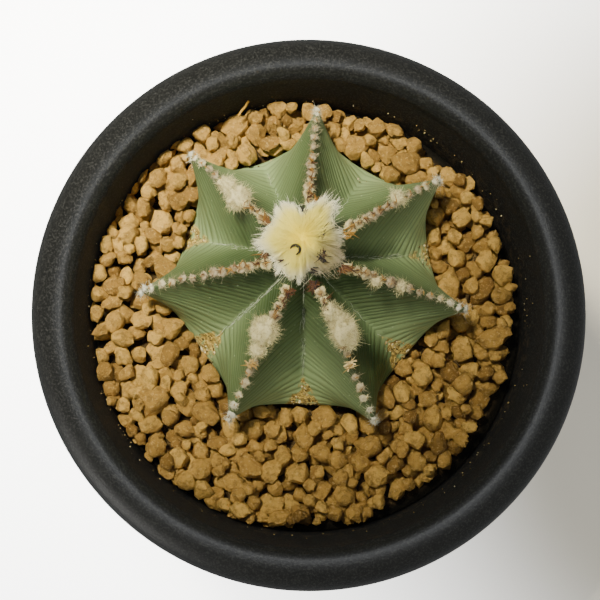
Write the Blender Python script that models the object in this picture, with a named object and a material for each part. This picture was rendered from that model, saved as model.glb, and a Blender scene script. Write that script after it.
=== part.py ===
"""A small star-ribbed cactus grown in a round plastic pot, one script for the whole object.

Run it with: blender --background --python part.py, or from Blender's text editor.

Units are metres and +Z is up. The origin is the centre of the ring that the pot stands on.
The pot is a turned shell with a rolled lip, a raised floor and radial drain slots. Grit fills it
up to the soil line, and its top is a bed of loose-looking grains fused to the filling. The plant
is one body with seven thin ribs, a buried neck and growth rings that run from rib to valley.
Each rib carries a chain of woolly areoles, and a tuft of wool crowns the plant.
"""

import math
import random

import bmesh
import bpy
import numpy as np
from mathutils import Matrix, Vector

# Clearance kept between neighbouring pieces, and by what is cut back to a neighbour
TOUCH_GAP = 0.0003
CUT_GAP = 0.00035

# Pot: a rim of 76 mm across on a tapering wall
POT_HEIGHT = 0.066
RIM_RADIUS = 0.0382
RIM_CREST_RADIUS = 0.0342
RIM_WIDEST_DROP = 0.0038
LIP_INNER_RADIUS = 0.0321
LIP_INNER_DROP = 0.0026
LIP_UNDERSIDE = 0.0577
WALL_TOP_RADIUS = 0.0326
FOOT_RADIUS = 0.0257
FOOT_WIDTH = 0.0021
FLOOR_UNDERSIDE = 0.0030
FLOOR_THICKNESS = 0.0020
WALL_THICKNESS = 0.0018
POT_SIDES = 40
DRAIN_SLOTS = 8
SLOT_WIDTH = 0.0020
SLOT_INNER_RADIUS = 0.0070
SLOT_OUTER_RADIUS = 0.0190
FOOT_NOTCHES = 4
NOTCH_WIDTH = 0.0060
NOTCH_HEIGHT = 0.0012
FOOT_BEVEL = 0.0005
LIP_FILLET = 0.0007
FLOOR_FILLET = 0.0016
SHARP_ANGLE_DEG = 35

# Grit: the level of the filling, and the grains that cover it
SOIL_LEVEL = 0.0560
GRAIN_SINK = 0.0009
GRAIN_PITCH = 0.00305
GRAIN_JITTER = 0.00050
GRAIN_SIZES = (0.00155, 0.00205)
GRAIN_RISE = (0.0001, 0.0008)
GRAIN_CORNER_SCATTER = 0.55
GRAIN_CORNER_RADII = (0.85, 1.0)
GRAIN_STRETCH = ((1.0, 1.25), (0.85, 1.1), (0.75, 1.0))
GRAIN_WALL_SHARE = 0.6
GRAIN_PLANT_SHARE = 0.4
GRAIN_SEED = 11

# Plant: where it stands in the pot and how it leans
PLANT_BASE = (-0.0004, 0.0053, SOIL_LEVEL)
PLANT_LEAN_X_DEG = -0.7
PLANT_LEAN_Y_DEG = -1.7

# The azimuth of each rib, anticlockwise from +X, starting at the rib that points along +Y
RIB_AZIMUTHS_DEG = (85.7, 34.3, -13.4, -65.4, -117.0, -173.1, -225.6)

# One rib's edge and the valley beside it, as (age, radius, height over the soil).
# Equal ages are joined by a growth ring. Age 0 is the growing point and age 1 the soil line.
RIB_EDGE = (
    (0.00, 0.0000, 0.0203), (0.07, 0.0022, 0.0210), (0.17, 0.0055, 0.0206),
    (0.30, 0.0096, 0.0185), (0.44, 0.0142, 0.0156), (0.58, 0.0188, 0.0124),
    (0.70, 0.0214, 0.0101), (0.77, 0.0224, 0.0086), (0.83, 0.0225, 0.0068),
    (0.91, 0.0213, 0.0035), (1.00, 0.0196, 0.0000), (1.10, 0.0164, -0.0035),
    (1.22, 0.0122, -0.0075), (1.34, 0.0078, -0.0120),
)
VALLEY_LINE = (
    (0.00, 0.0000, 0.0203), (0.07, 0.0011, 0.0202), (0.17, 0.0026, 0.0190),
    (0.30, 0.0045, 0.0162), (0.44, 0.0067, 0.0130), (0.58, 0.0089, 0.0099),
    (0.70, 0.0107, 0.0074), (0.77, 0.0119, 0.0060), (0.83, 0.0130, 0.0047),
    (0.91, 0.0146, 0.0025), (1.00, 0.0165, 0.0000), (1.10, 0.0146, -0.0035),
    (1.22, 0.0114, -0.0075), (1.34, 0.0076, -0.0120),
)
TIP_AGE = 0.77
CROWN_AGES = (0.04, 0.10)
NECK_AGES = (1.10, 1.22, 1.34)
NECK_POINT = 0.0015
AGE_STEP = 0.004
EDGE_ROUNDING = 0.055
FLANK_HOLLOW = 0.10
RING_FADE_STEP = 0.3
SMALLEST_REACH = 0.004
GROWTH_RINGS = 11
GROWTH_RING_DEPTH = 0.00024
FIRST_RING_AGE = 0.16
LAST_RING_AGE = 1.0

# Across one rib, from the valley on its left to the valley on its right
FLANK_STEPS = (-1.0, -0.66, -0.34, -0.10, 0.0, 0.10, 0.34, 0.66)
CLEARANCE_STEPS = (-1.0, -0.45, -0.10, 0.0, 0.10, 0.45)

# Areoles: woolly tufts that touch each other in a chain down each rib
AREOLE_SPACING = 0.00150
AREOLE_HALF_WIDTH = 0.00048
AREOLE_TIP_HALF_WIDTH = 0.00032
AREOLE_THICKNESS = 0.00078
PINCH_SHARE = 0.35
PINCH_HEIGHT_SHARE = 0.6
TUFT_SPREAD = (0.87, 1.18)
BAND_EDGE = 0.00022
AREOLE_LAST_AGE = 0.87
CHAIN_FOOT_STEP = 0.085
CHAIN_FOOT_LEAN = 0.6
CHAIN_GAP = 0.00038
CHAIN_START_RADII = (0.0078, 0.0075, 0.0060, 0.0050, 0.0048, 0.0050, 0.0076)
SPINED_AREOLES = 5
SPINE_LENGTHS = (0.0015, 0.0021)
SPINE_RADIUS = 0.00024
SPINE_FOOT_SHARE = 0.6
SPINE_RISE = 0.75
SPINE_SPREAD = (0.6, 0.9)
SPINE_SWEEP = (-0.9, 0.2)
AREOLE_SEED = 5

# Old flowering areoles: larger clumps of wool, as (rib, radius out along it, half length, half width)
WOOL_CLUMPS = (
    (6, 0.0125, 0.0022, 0.0018),
    (1, 0.0148, 0.0014, 0.0012),
    (4, 0.0108, 0.0021, 0.0017),
    (3, 0.0100, 0.0034, 0.0017),
)
CLUMP_SPREAD = (0.82, 1.10)
CLUMP_LOCKS = 7
CLUMP_LOCK_OFFSET = 0.7
CLUMP_LOCK_SPREAD = 1.1
CLUMP_LOCK_SWEEP = 0.6
CLUMP_LOCK_FOOT = 0.6
CLUMP_LOCK_LENGTH = 1.15
CLUMP_LOCK_RADIUS = 0.35
GOLDEN_ANGLE = math.pi * (3 - math.sqrt(5))

# Crown wool: a low cushion over the growing point, with locks of hair standing out of it
CROWN_CENTRE = (-0.0004, 0.0018, 0.0212)
CROWN_RADII = (0.0045, 0.0048, 0.0032)
CROWN_CLEARANCE = 0.0020
LOCK_COUNT = 46
LOCK_LENGTHS = (0.0009, 0.0017)
LOCK_FOOT_SHARE = 0.8
LOCK_RADIUS = 0.00068
CROWN_LUMPS = 0.05
CROWN_SEED = 8


def clear_scene():
    """Remove every object, so that the script starts from an empty scene."""
    for old in list(bpy.data.objects):
        bpy.data.objects.remove(old, do_unlink=True)


def make_material(name, colour, roughness):
    """A plain Principled material with the colour and roughness of the real surface."""
    made = bpy.data.materials.new(name)
    made.use_nodes = True
    shader = made.node_tree.nodes["Principled BSDF"]
    shader.inputs["Base Color"].default_value = (*colour, 1.0)
    shader.inputs["Roughness"].default_value = roughness
    shader.inputs["Metallic"].default_value = 0.0
    made.diffuse_color = (*colour, 1.0)
    return made


def add_object(name, points, faces, finish=None, parent=None):
    """Put points and faces into a new object, with its material and parent."""
    mesh = bpy.data.meshes.new(name)
    mesh.from_pydata([tuple(point) for point in points], [], faces)
    mesh.update()
    made = bpy.data.objects.new(name, mesh)
    bpy.context.scene.collection.objects.link(made)
    made.parent = parent
    if finish is not None:
        mesh.materials.append(finish)
    return made


def object_from_bmesh(name, work, finish=None, parent=None):
    """Put a bmesh into a new object and free it."""
    mesh = bpy.data.meshes.new(name)
    work.to_mesh(mesh)
    work.free()
    made = bpy.data.objects.new(name, mesh)
    bpy.context.scene.collection.objects.link(made)
    made.parent = parent
    if finish is not None:
        mesh.materials.append(finish)
    return made


def take_evaluated_mesh(target):
    """Replace an object's mesh by what its modifiers make of it, and drop the modifiers."""
    finish = list(target.data.materials)
    graph = bpy.context.evaluated_depsgraph_get()
    result = bpy.data.meshes.new_from_object(target.evaluated_get(graph))
    target.modifiers.clear()
    target.data = result
    result.materials.clear()
    for one in finish:
        result.materials.append(one)


def run_boolean(target, operation, solver, operand):
    """Run one Boolean on the target, with an object or with a whole collection."""
    step = target.modifiers.new("boolean", "BOOLEAN")
    step.operation = operation
    step.solver = solver
    if isinstance(operand, bpy.types.Collection):
        step.operand_type = "COLLECTION"
        step.collection = operand
    else:
        step.object = operand
    bpy.context.view_layer.update()
    take_evaluated_mesh(target)


def fuse(target, pieces):
    """Join many overlapping pieces to the target in one union, then remove them."""
    group = bpy.data.collections.new("pieces_to_join")
    bpy.context.scene.collection.children.link(group)
    for piece in pieces:
        group.objects.link(piece)
    run_boolean(target, "UNION", "MANIFOLD", group)
    for piece in pieces:
        bpy.data.objects.remove(piece, do_unlink=True)
    bpy.data.collections.remove(group)


def cut_away(target, cutter, solver="MANIFOLD"):
    """Cut the cutter's space out of the target, and keep the cutter for the next piece."""
    run_boolean(target, "DIFFERENCE", solver, cutter)


def keep_largest_body(target):
    """Drop the loose scraps that a cut leaves, so that one closed body is left."""
    work = bmesh.new()
    work.from_mesh(target.data)
    waiting = set(work.verts)
    bodies = []
    while waiting:
        seed = waiting.pop()
        body = {seed}
        frontier = [seed]
        while frontier:
            here = frontier.pop()
            for edge in here.link_edges:
                there = edge.other_vert(here)
                if there not in body:
                    body.add(there)
                    frontier.append(there)
        waiting -= body
        bodies.append(body)
    largest = max(bodies, key=len)
    scraps = [vert for body in bodies if body is not largest for vert in body]
    bmesh.ops.delete(work, geom=scraps, context="VERTS")
    work.to_mesh(target.data)
    work.free()


def make_guide(target):
    """Mark an object as a cutter, which isn't part of the model."""
    target.hide_render = True
    target.display_type = "WIRE"


def arc(centre, radii, start_deg, end_deg, count):
    """Points on an elliptical arc, as (radius, height) pairs."""
    angles = np.radians(np.linspace(start_deg, end_deg, count))
    return [
        (centre[0] + radii[0] * math.cos(angle), centre[1] + radii[1] * math.sin(angle))
        for angle in angles
    ]


def wall_outer_radius(height):
    """The radius of the pot's outer wall at a height, on a straight taper."""
    share = height / LIP_UNDERSIDE
    return FOOT_RADIUS + (WALL_TOP_RADIUS - FOOT_RADIUS) * share


def wall_inner_radius(height):
    """The radius of the inner wall, which flares out over the soil to meet the lip."""
    straight = wall_outer_radius(min(height, SOIL_LEVEL)) - WALL_THICKNESS
    if height <= SOIL_LEVEL:
        return straight
    lip_edge = POT_HEIGHT - LIP_INNER_DROP
    share = (height - SOIL_LEVEL) / (lip_edge - SOIL_LEVEL)
    return straight + (LIP_INNER_RADIUS - straight) * share


def turned(name, profile, sides, finish=None, parent=None):
    """Turn a (radius, height) profile about Z, from the axis below, outside, to the axis above.

    A point on the axis becomes one vertex, and each other point a ring of vertices.
    """
    points = []
    rings = []
    for radius, height in profile:
        if radius < 1e-9:
            rings.append([len(points)])
            points.append((0.0, 0.0, height))
            continue
        ring = []
        for side in range(sides):
            angle = 2 * math.pi * side / sides
            ring.append(len(points))
            points.append((radius * math.cos(angle), radius * math.sin(angle), height))
        rings.append(ring)
    faces = []
    for first, second in zip(rings[:-1], rings[1:]):
        for side in range(sides):
            after = (side + 1) % sides
            if len(first) == 1:
                faces.append((first[0], second[after], second[side]))
            elif len(second) == 1:
                faces.append((first[side], first[after], second[0]))
            else:
                faces.append((first[side], first[after], second[after], second[side]))
    return add_object(name, points, faces, finish, parent)


def box_piece(name, size, centre, turn):
    """A block of a size, centred at a place and turned about the pot's axis."""
    work = bmesh.new()
    place = Matrix.Rotation(turn, 4, "Z") @ Matrix.Translation(centre) @ Matrix.Diagonal((*size, 1.0))
    bmesh.ops.create_cube(work, size=1.0, matrix=place)
    return object_from_bmesh(name, work)


def build_pot(finish):
    """The turned shell, then its drain slots and the notches in its foot."""
    outer_roll = arc(
        (RIM_CREST_RADIUS, POT_HEIGHT - RIM_WIDEST_DROP),
        (RIM_RADIUS - RIM_CREST_RADIUS, RIM_WIDEST_DROP), 0, 90, 5,
    )
    under_roll = arc(
        (RIM_CREST_RADIUS, POT_HEIGHT - RIM_WIDEST_DROP),
        (RIM_RADIUS - RIM_CREST_RADIUS, POT_HEIGHT - RIM_WIDEST_DROP - LIP_UNDERSIDE), -90, 0, 4,
    )
    inner_roll = arc(
        (RIM_CREST_RADIUS, POT_HEIGHT - LIP_INNER_DROP),
        (RIM_CREST_RADIUS - LIP_INNER_RADIUS, LIP_INNER_DROP), 90, 180, 4,
    )
    foot_inner = FOOT_RADIUS - FOOT_WIDTH
    floor_top = FLOOR_UNDERSIDE + FLOOR_THICKNESS
    profile = [
        (0.0, FLOOR_UNDERSIDE),
        (foot_inner - 2 * FOOT_BEVEL, FLOOR_UNDERSIDE),
        (foot_inner - FOOT_BEVEL, FLOOR_UNDERSIDE - FOOT_BEVEL),
        (foot_inner, 0.0),
        (FOOT_RADIUS - FOOT_BEVEL, 0.0),
        (wall_outer_radius(FOOT_BEVEL), FOOT_BEVEL),
        (wall_outer_radius(LIP_UNDERSIDE - LIP_FILLET), LIP_UNDERSIDE - LIP_FILLET),
        (wall_outer_radius(LIP_UNDERSIDE) + LIP_FILLET, LIP_UNDERSIDE),
        *under_roll[:-1],
        *outer_roll,
        *inner_roll[1:],
        (wall_inner_radius(SOIL_LEVEL), SOIL_LEVEL),
        (wall_inner_radius(floor_top + FLOOR_FILLET), floor_top + FLOOR_FILLET),
        (wall_inner_radius(floor_top) - FLOOR_FILLET, floor_top),
        (0.0, floor_top),
    ]
    pot = turned("pot", profile, POT_SIDES, finish)
    slot_length = SLOT_OUTER_RADIUS - SLOT_INNER_RADIUS
    slot_middle = (SLOT_OUTER_RADIUS + SLOT_INNER_RADIUS) / 2
    cutters = []
    for index in range(DRAIN_SLOTS):
        turn = 2 * math.pi * (index + 0.5) / DRAIN_SLOTS
        place = (slot_middle, 0.0, FLOOR_UNDERSIDE + FLOOR_THICKNESS / 2)
        cutters.append(box_piece("slot", (slot_length, SLOT_WIDTH, 4 * FLOOR_THICKNESS), place, turn))
    for index in range(FOOT_NOTCHES):
        turn = 2 * math.pi * index / FOOT_NOTCHES
        place = (FOOT_RADIUS - FOOT_WIDTH / 2, 0.0, 0.0)
        size = (4 * FOOT_WIDTH, NOTCH_WIDTH, 2 * NOTCH_HEIGHT)
        cutters.append(box_piece("notch", size, place, turn))
    for cutter in cutters:
        cut_away(pot, cutter, "EXACT")
        bpy.data.objects.remove(cutter, do_unlink=True)
    pot.data.shade_smooth()
    pot.data.set_sharp_from_angle(angle=math.radians(SHARP_ANGLE_DEG))
    return pot


def follow(line, ages):
    """Radius and height at each age, on a smooth curve through the line's points.

    Between two points this is a cubic whose slope at each point is that of its neighbours' chord.
    """
    table = np.array(line)
    knots = table[:, 0]
    slopes = np.gradient(table[:, 1:], knots, axis=0)
    ages = np.clip(np.asarray(ages, float), knots[0], knots[-1])
    span = np.clip(np.searchsorted(knots, ages, side="right") - 1, 0, len(knots) - 2)
    width = knots[span + 1] - knots[span]
    share = ((ages - knots[span]) / width)[..., None]
    width = width[..., None]
    start, end = table[span, 1:], table[span + 1, 1:]
    return (
        (2 * share**3 - 3 * share**2 + 1) * start
        + (share**3 - 2 * share**2 + share) * width * slopes[span]
        + (3 * share**2 - 2 * share**3) * end
        + (share**3 - share**2) * width * slopes[span + 1]
    )


def valley_azimuths():
    """The azimuth of the valley on the left (anticlockwise) side of each rib, in radians."""
    ribs = np.radians(RIB_AZIMUTHS_DEG)
    before = np.roll(ribs, 1)
    before[0] += 2 * math.pi
    return (ribs + before) / 2


def body_surface(ages, steps, ring_depth):
    """Points of the plant's skin on a grid of ages and steps across every rib.

    At one age a rib's edge and the valleys beside it are joined by nearly straight flanks. The
    flank leaves the edge along a rounded crest, and is a little hollow half way. A growth ring
    is a shallow groove where the ring count passes a half.
    """
    edge = follow(RIB_EDGE, ages)
    valley = follow(VALLEY_LINE, ages)
    ring_share = (np.asarray(ages) - FIRST_RING_AGE) / (LAST_RING_AGE - FIRST_RING_AGE)
    inside = (ring_share > 0) & (ring_share < 1)
    groove = np.where(inside, 0.5 - 0.5 * np.cos(2 * np.pi * ring_share * GROWTH_RINGS), 0.0)
    ribs = np.radians(RIB_AZIMUTHS_DEG)
    left = valley_azimuths()
    right = np.roll(left, -1)
    right[-1] -= 2 * math.pi
    columns = []
    crest_start = EDGE_ROUNDING
    crest_span = math.sqrt(1 + crest_start**2) - crest_start
    for rib, azimuth in enumerate(ribs):
        for step in steps:
            bound = left[rib] if step < 0 else right[rib]
            away = abs(step)
            drop = (math.sqrt(away**2 + crest_start**2) - crest_start) / crest_span
            side = away - FLANK_HOLLOW * away * (1 - away)
            half_angle = abs(bound - azimuth)
            out = edge[:, 0] - drop * (edge[:, 0] - valley[:, 0] * math.cos(half_angle))
            across = side * valley[:, 0] * math.sin(half_angle)
            height = edge[:, 1] - drop * (edge[:, 1] - valley[:, 1])
            depth = ring_depth * groove * min(1.0, away / RING_FADE_STEP)
            shrink = 1 - depth / np.maximum(np.hypot(out, across), SMALLEST_REACH)
            turn = azimuth + np.sign(bound - azimuth) * np.arctan2(across, out)
            reach = np.hypot(out, across) * shrink
            columns.append(np.stack([reach * np.cos(turn), reach * np.sin(turn), height], -1))
    return np.stack(columns, 1)


def grid_normals(grid):
    """Outward unit normals of a grid that closes round in its second direction."""
    down = np.gradient(grid, axis=0)
    wrapped = np.concatenate([grid[:, -1:], grid, grid[:, :1]], axis=1)
    round_way = (wrapped[:, 2:] - wrapped[:, :-2]) / 2
    normal = np.cross(round_way, down)
    length = np.linalg.norm(normal, axis=-1, keepdims=True)
    return normal / np.maximum(length, 1e-12)


def close_grid(name, grid, top, bottom, finish=None, parent=None):
    """A closed solid from a grid of rings, with a point that closes its top and one its bottom."""
    rows, columns, _ = grid.shape
    points = [*grid.reshape(-1, 3), top, bottom]
    faces = []
    for row in range(rows - 1):
        for column in range(columns):
            after = (column + 1) % columns
            faces.append((
                row * columns + column, (row + 1) * columns + column,
                (row + 1) * columns + after, row * columns + after,
            ))
    last = (rows - 1) * columns
    for column in range(columns):
        after = (column + 1) % columns
        faces.append((rows * columns, column, after))
        faces.append((last + after, last + column, rows * columns + 1))
    made = add_object(name, points, faces, finish, parent)
    work = bmesh.new()
    work.from_mesh(made.data)
    bmesh.ops.recalc_face_normals(work, faces=work.faces)
    bmesh.ops.triangulate(work, faces=work.faces)
    work.to_mesh(made.data)
    work.free()
    return made


def build_body(finish, stand):
    """The plant's body, with a ring of points on each groove and each crest of a growth ring."""
    ring_ages = np.linspace(FIRST_RING_AGE, LAST_RING_AGE, 2 * GROWTH_RINGS + 1)
    ages = np.concatenate([CROWN_AGES, ring_ages, NECK_AGES])
    grid = body_surface(ages, FLANK_STEPS, GROWTH_RING_DEPTH)
    top = (0.0, 0.0, RIB_EDGE[0][2])
    bottom = (0.0, 0.0, RIB_EDGE[-1][2] - NECK_POINT)
    body = close_grid("cactus_body", grid, top, bottom, finish, stand)
    body.data.shade_smooth()
    return body


def build_clearance(stand):
    """The body's space with a gap all round, which the wool and the grit are cut back by."""
    ages = np.array([point[0] for point in RIB_EDGE[1:]])
    grid = body_surface(ages, CLEARANCE_STEPS, 0.0)
    grid = grid + CUT_GAP * grid_normals(grid)
    top = (0.0, 0.0, RIB_EDGE[0][2] + CUT_GAP)
    bottom = (0.0, 0.0, RIB_EDGE[-1][2] - NECK_POINT - CUT_GAP)
    cutter = close_grid("body_clearance", grid, top, bottom, None, stand)
    make_guide(cutter)
    return cutter


def lumpy_ball(name, centre, radii, turn, roughness, draw, detail=1, parent=None, finish=None):
    """A ball of few faces whose corners are drawn in and out, for a cushion of wool."""
    work = bmesh.new()
    bmesh.ops.create_icosphere(work, subdivisions=detail, radius=1.0)
    for vert in work.verts:
        vert.co *= 1 + draw.uniform(-roughness, roughness)
    place = Matrix.Translation(centre) @ turn.to_4x4() @ Matrix.Diagonal((*radii, 1.0))
    bmesh.ops.transform(work, matrix=place, verts=work.verts)
    return object_from_bmesh(name, work, finish, parent)


def spike(name, foot, tip, radius, parent=None):
    """A three-sided point from a foot to a tip, for a spine or a lock of hair."""
    foot, tip = Vector(foot), Vector(tip)
    along = (tip - foot).normalized()
    side = along.orthogonal().normalized()
    other = along.cross(side)
    points = []
    for corner in range(3):
        angle = 2 * math.pi * corner / 3
        points.append(foot + radius * (math.cos(angle) * side + math.sin(angle) * other))
    points.append(tip)
    faces = [(2, 1, 0), (0, 1, 3), (1, 2, 3), (2, 0, 3)]
    return add_object(name, points, faces, None, parent)


def random_turn(draw):
    """A rotation drawn evenly enough for grains."""
    axis = Vector((draw.gauss(0, 1), draw.gauss(0, 1), draw.gauss(0, 1))).normalized()
    return Matrix.Rotation(draw.uniform(0, 2 * math.pi), 3, axis)


def grain(place, size, draw):
    """A chunky grain: eight corners scattered round a ball, wrapped by the flat faces between."""
    work = bmesh.new()
    for corner in range(8):
        signs = [1 if corner >> axis & 1 else -1 for axis in range(3)]
        scatter = [draw.uniform(-GRAIN_CORNER_SCATTER, GRAIN_CORNER_SCATTER) for _ in range(3)]
        way = (Vector(signs) + Vector(scatter)).normalized()
        work.verts.new(way * draw.uniform(*GRAIN_CORNER_RADII))
    bmesh.ops.convex_hull(work, input=work.verts)
    stretch = Vector(draw.uniform(*bounds) for bounds in GRAIN_STRETCH)
    turn = random_turn(draw).to_4x4()
    matrix = Matrix.Translation(place) @ turn @ Matrix.Diagonal((*(size * stretch), 1.0))
    bmesh.ops.transform(work, matrix=matrix, verts=work.verts)
    bmesh.ops.recalc_face_normals(work, faces=work.faces)
    return object_from_bmesh("grain", work)


def base_reach(azimuths):
    """How far out the plant's skin is at the soil line, seen from its base, at each azimuth."""
    edge = float(follow(RIB_EDGE, [1.0])[0, 0])
    valley = float(follow(VALLEY_LINE, [1.0])[0, 0])
    ribs = np.radians(RIB_AZIMUTHS_DEG)
    apart = (azimuths[:, None] - ribs + np.pi) % (2 * np.pi) - np.pi
    share = np.clip(np.abs(apart).min(axis=1) * len(ribs) / np.pi, 0, 1)
    return edge + (valley - edge) * share


def grain_places(draw):
    """Places on a triangular grid over the soil, each moved at random, clear of wall and plant."""
    bed_radius = wall_inner_radius(SOIL_LEVEL) - TOUCH_GAP
    row_pitch = GRAIN_PITCH * math.sqrt(3) / 2
    rows = int(bed_radius / row_pitch) + 1
    places = []
    for row in range(-rows, rows + 1):
        for column in range(-rows, rows + 1):
            x = (column + 0.5 * (row % 2)) * GRAIN_PITCH + draw.uniform(-1, 1) * GRAIN_JITTER
            y = row * row_pitch + draw.uniform(-1, 1) * GRAIN_JITTER
            places.append((x, y))
    places = np.array(places)
    from_plant = places - PLANT_BASE[:2]
    reach = base_reach(np.arctan2(from_plant[:, 1], from_plant[:, 0]))
    clear_of_plant = np.hypot(*from_plant.T) > reach + GRAIN_PLANT_SHARE * GRAIN_SIZES[0]
    clear_of_wall = np.hypot(*places.T) < bed_radius - GRAIN_WALL_SHARE * GRAIN_SIZES[0]
    return places[clear_of_plant & clear_of_wall].tolist()


def build_grit(finish, clearance):
    """The filling, then grains scattered over its top and fused to it, then the plant's hole."""
    fill_top = SOIL_LEVEL - GRAIN_SINK
    floor_top = FLOOR_UNDERSIDE + FLOOR_THICKNESS + TOUCH_GAP
    low_wall = floor_top + FLOOR_FILLET
    profile = [
        (0.0, floor_top),
        (wall_inner_radius(floor_top) - FLOOR_FILLET - 2 * TOUCH_GAP, floor_top),
        (wall_inner_radius(low_wall) - TOUCH_GAP, low_wall),
        (wall_inner_radius(fill_top) - TOUCH_GAP, fill_top),
        (0.0, fill_top),
    ]
    grit = turned("grit", profile, POT_SIDES, finish)
    draw = random.Random(GRAIN_SEED)
    grains = []
    for x, y in grain_places(draw):
        height = fill_top + draw.uniform(*GRAIN_RISE)
        grains.append(grain((x, y, height), draw.uniform(*GRAIN_SIZES), draw))
        keep_inside_wall(grains[-1])
    fuse(grit, grains)
    cut_away(grit, clearance)
    keep_largest_body(grit)
    return grit


def keep_inside_wall(piece):
    """Draw in the corners of a grain that would touch the pot's wall."""
    for vert in piece.data.vertices:
        limit = (wall_inner_radius(vert.co.z) - TOUCH_GAP) * math.cos(math.pi / POT_SIDES)
        away = math.hypot(vert.co.x, vert.co.y)
        if away > limit:
            vert.co.x *= limit / away
            vert.co.y *= limit / away


def edge_place(rib, age, lift):
    """A point over a rib's edge, with the directions down the edge, across it and out of it."""
    here, after = follow(RIB_EDGE, [age, age + AGE_STEP]).tolist()
    azimuth = math.radians(RIB_AZIMUTHS_DEG[rib])
    out_way = Vector((math.cos(azimuth), math.sin(azimuth), 0.0))
    up_way = Vector((0.0, 0.0, 1.0))
    along = ((after[0] - here[0]) * out_way + (after[1] - here[1]) * up_way).normalized()
    across = up_way.cross(out_way)
    normal = along.cross(across).normalized()
    if normal.dot(up_way + out_way) < 0:
        normal = -normal
    place = here[0] * out_way + here[1] * up_way + lift * normal
    return place, along, across, normal


def age_at_radius(radius):
    """The age at which a rib's edge is this far out, before it turns down at the tip."""
    ages = np.linspace(0.0, TIP_AGE, 300)
    return float(np.interp(radius, follow(RIB_EDGE, ages)[:, 0], ages))


def edge_length(start_age, end_age):
    """The length along a rib's edge between two ages."""
    track = follow(RIB_EDGE, np.linspace(start_age, end_age, 200))
    return float(np.hypot(*np.diff(track, axis=0).T).sum())


def areole_ages(rib):
    """Ages spaced evenly along a rib's edge, from the crown wool to below the tip."""
    ages = np.linspace(age_at_radius(CHAIN_START_RADII[rib]), AREOLE_LAST_AGE, 400)
    track = follow(RIB_EDGE, ages)
    lengths = np.concatenate([[0.0], np.cumsum(np.hypot(*np.diff(track, axis=0).T))])
    count = int(lengths[-1] / AREOLE_SPACING)
    return np.interp(np.arange(count + 1) * AREOLE_SPACING, lengths, ages)


def swell(rib, lengths, start_age):
    """How much a flowering clump adds to the chain, as a share of its half width, at each length."""
    total = np.zeros_like(lengths)
    half_width = 0.0
    for clump_rib, radius, half_length, width in WOOL_CLUMPS:
        if clump_rib != rib:
            continue
        middle = edge_length(start_age, age_at_radius(radius))
        inside = np.clip(1 - ((lengths - middle) / half_length) ** 2, 0, None)
        total = np.maximum(total, np.sqrt(inside))
        half_width = width
    return total, half_width


def build_chain(rib, ages, finish, stand):
    """One rib's felt and tufts as a band over its edge, wide at each areole and narrow between.

    Each cross-section has three points that lie a gap above the skin, astride the rib's edge,
    and three points outside them: the tuft's two sides and its top.
    """
    draw = np.random.default_rng(AREOLE_SEED + rib)
    count = 2 * len(ages) - 1
    stations = np.interp(np.arange(count) / 2, np.arange(len(ages)), ages)
    lengths = np.arange(count) * AREOLE_SPACING / 2
    skin = body_surface(stations, (-CHAIN_FOOT_STEP, 0.0, CHAIN_FOOT_STEP), 0.0)
    skin = skin[:, 3 * rib:3 * rib + 3]
    frames = [edge_place(rib, age, 0.0) for age in stations]
    across = np.array([frame[2] for frame in frames])
    normal = np.array([frame[3] for frame in frames])
    side_sign = np.sign(np.einsum("ij,ij->i", skin[:, 2] - skin[:, 0], across))[:, None]
    across = across * side_sign
    pinch = np.where(np.arange(count) % 2 == 0, 1.0, PINCH_SHARE)
    share = np.linspace(0, 1, count)
    half_width = AREOLE_HALF_WIDTH + (AREOLE_TIP_HALF_WIDTH - AREOLE_HALF_WIDTH) * share
    puff, clump_width = swell(rib, lengths, ages[0])
    sideways = math.sqrt(1 - CHAIN_FOOT_LEAN**2)
    foot_out = CHAIN_FOOT_LEAN * normal + sideways * across
    foot_in = CHAIN_FOOT_LEAN * normal - sideways * across
    seat = skin[:, 1] + CHAIN_GAP * normal
    inner = [skin[:, 0] + CHAIN_GAP * foot_in, seat, skin[:, 2] + CHAIN_GAP * foot_out]
    width = half_width * pinch * draw.uniform(*TUFT_SPREAD, count)
    width = np.maximum(width, puff * clump_width * draw.uniform(*CLUMP_SPREAD, count))
    height_share = PINCH_HEIGHT_SHARE + (1 - PINCH_HEIGHT_SHARE) * pinch
    height = AREOLE_THICKNESS * height_share * draw.uniform(*TUFT_SPREAD, count)
    height = np.maximum(height, puff * clump_width * draw.uniform(*CLUMP_SPREAD, count))
    reach = width[:, None] + BAND_EDGE
    left = seat - reach * across
    right = seat + reach * across
    top = seat + height[:, None] * normal
    grid = np.stack([inner[0], inner[1], inner[2], right, top, left], axis=1)
    first = grid[0].mean(axis=0)
    last = grid[-1].mean(axis=0)
    return close_grid(f"rib_wool_{rib + 1}", grid, first, last, finish, stand)


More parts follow.
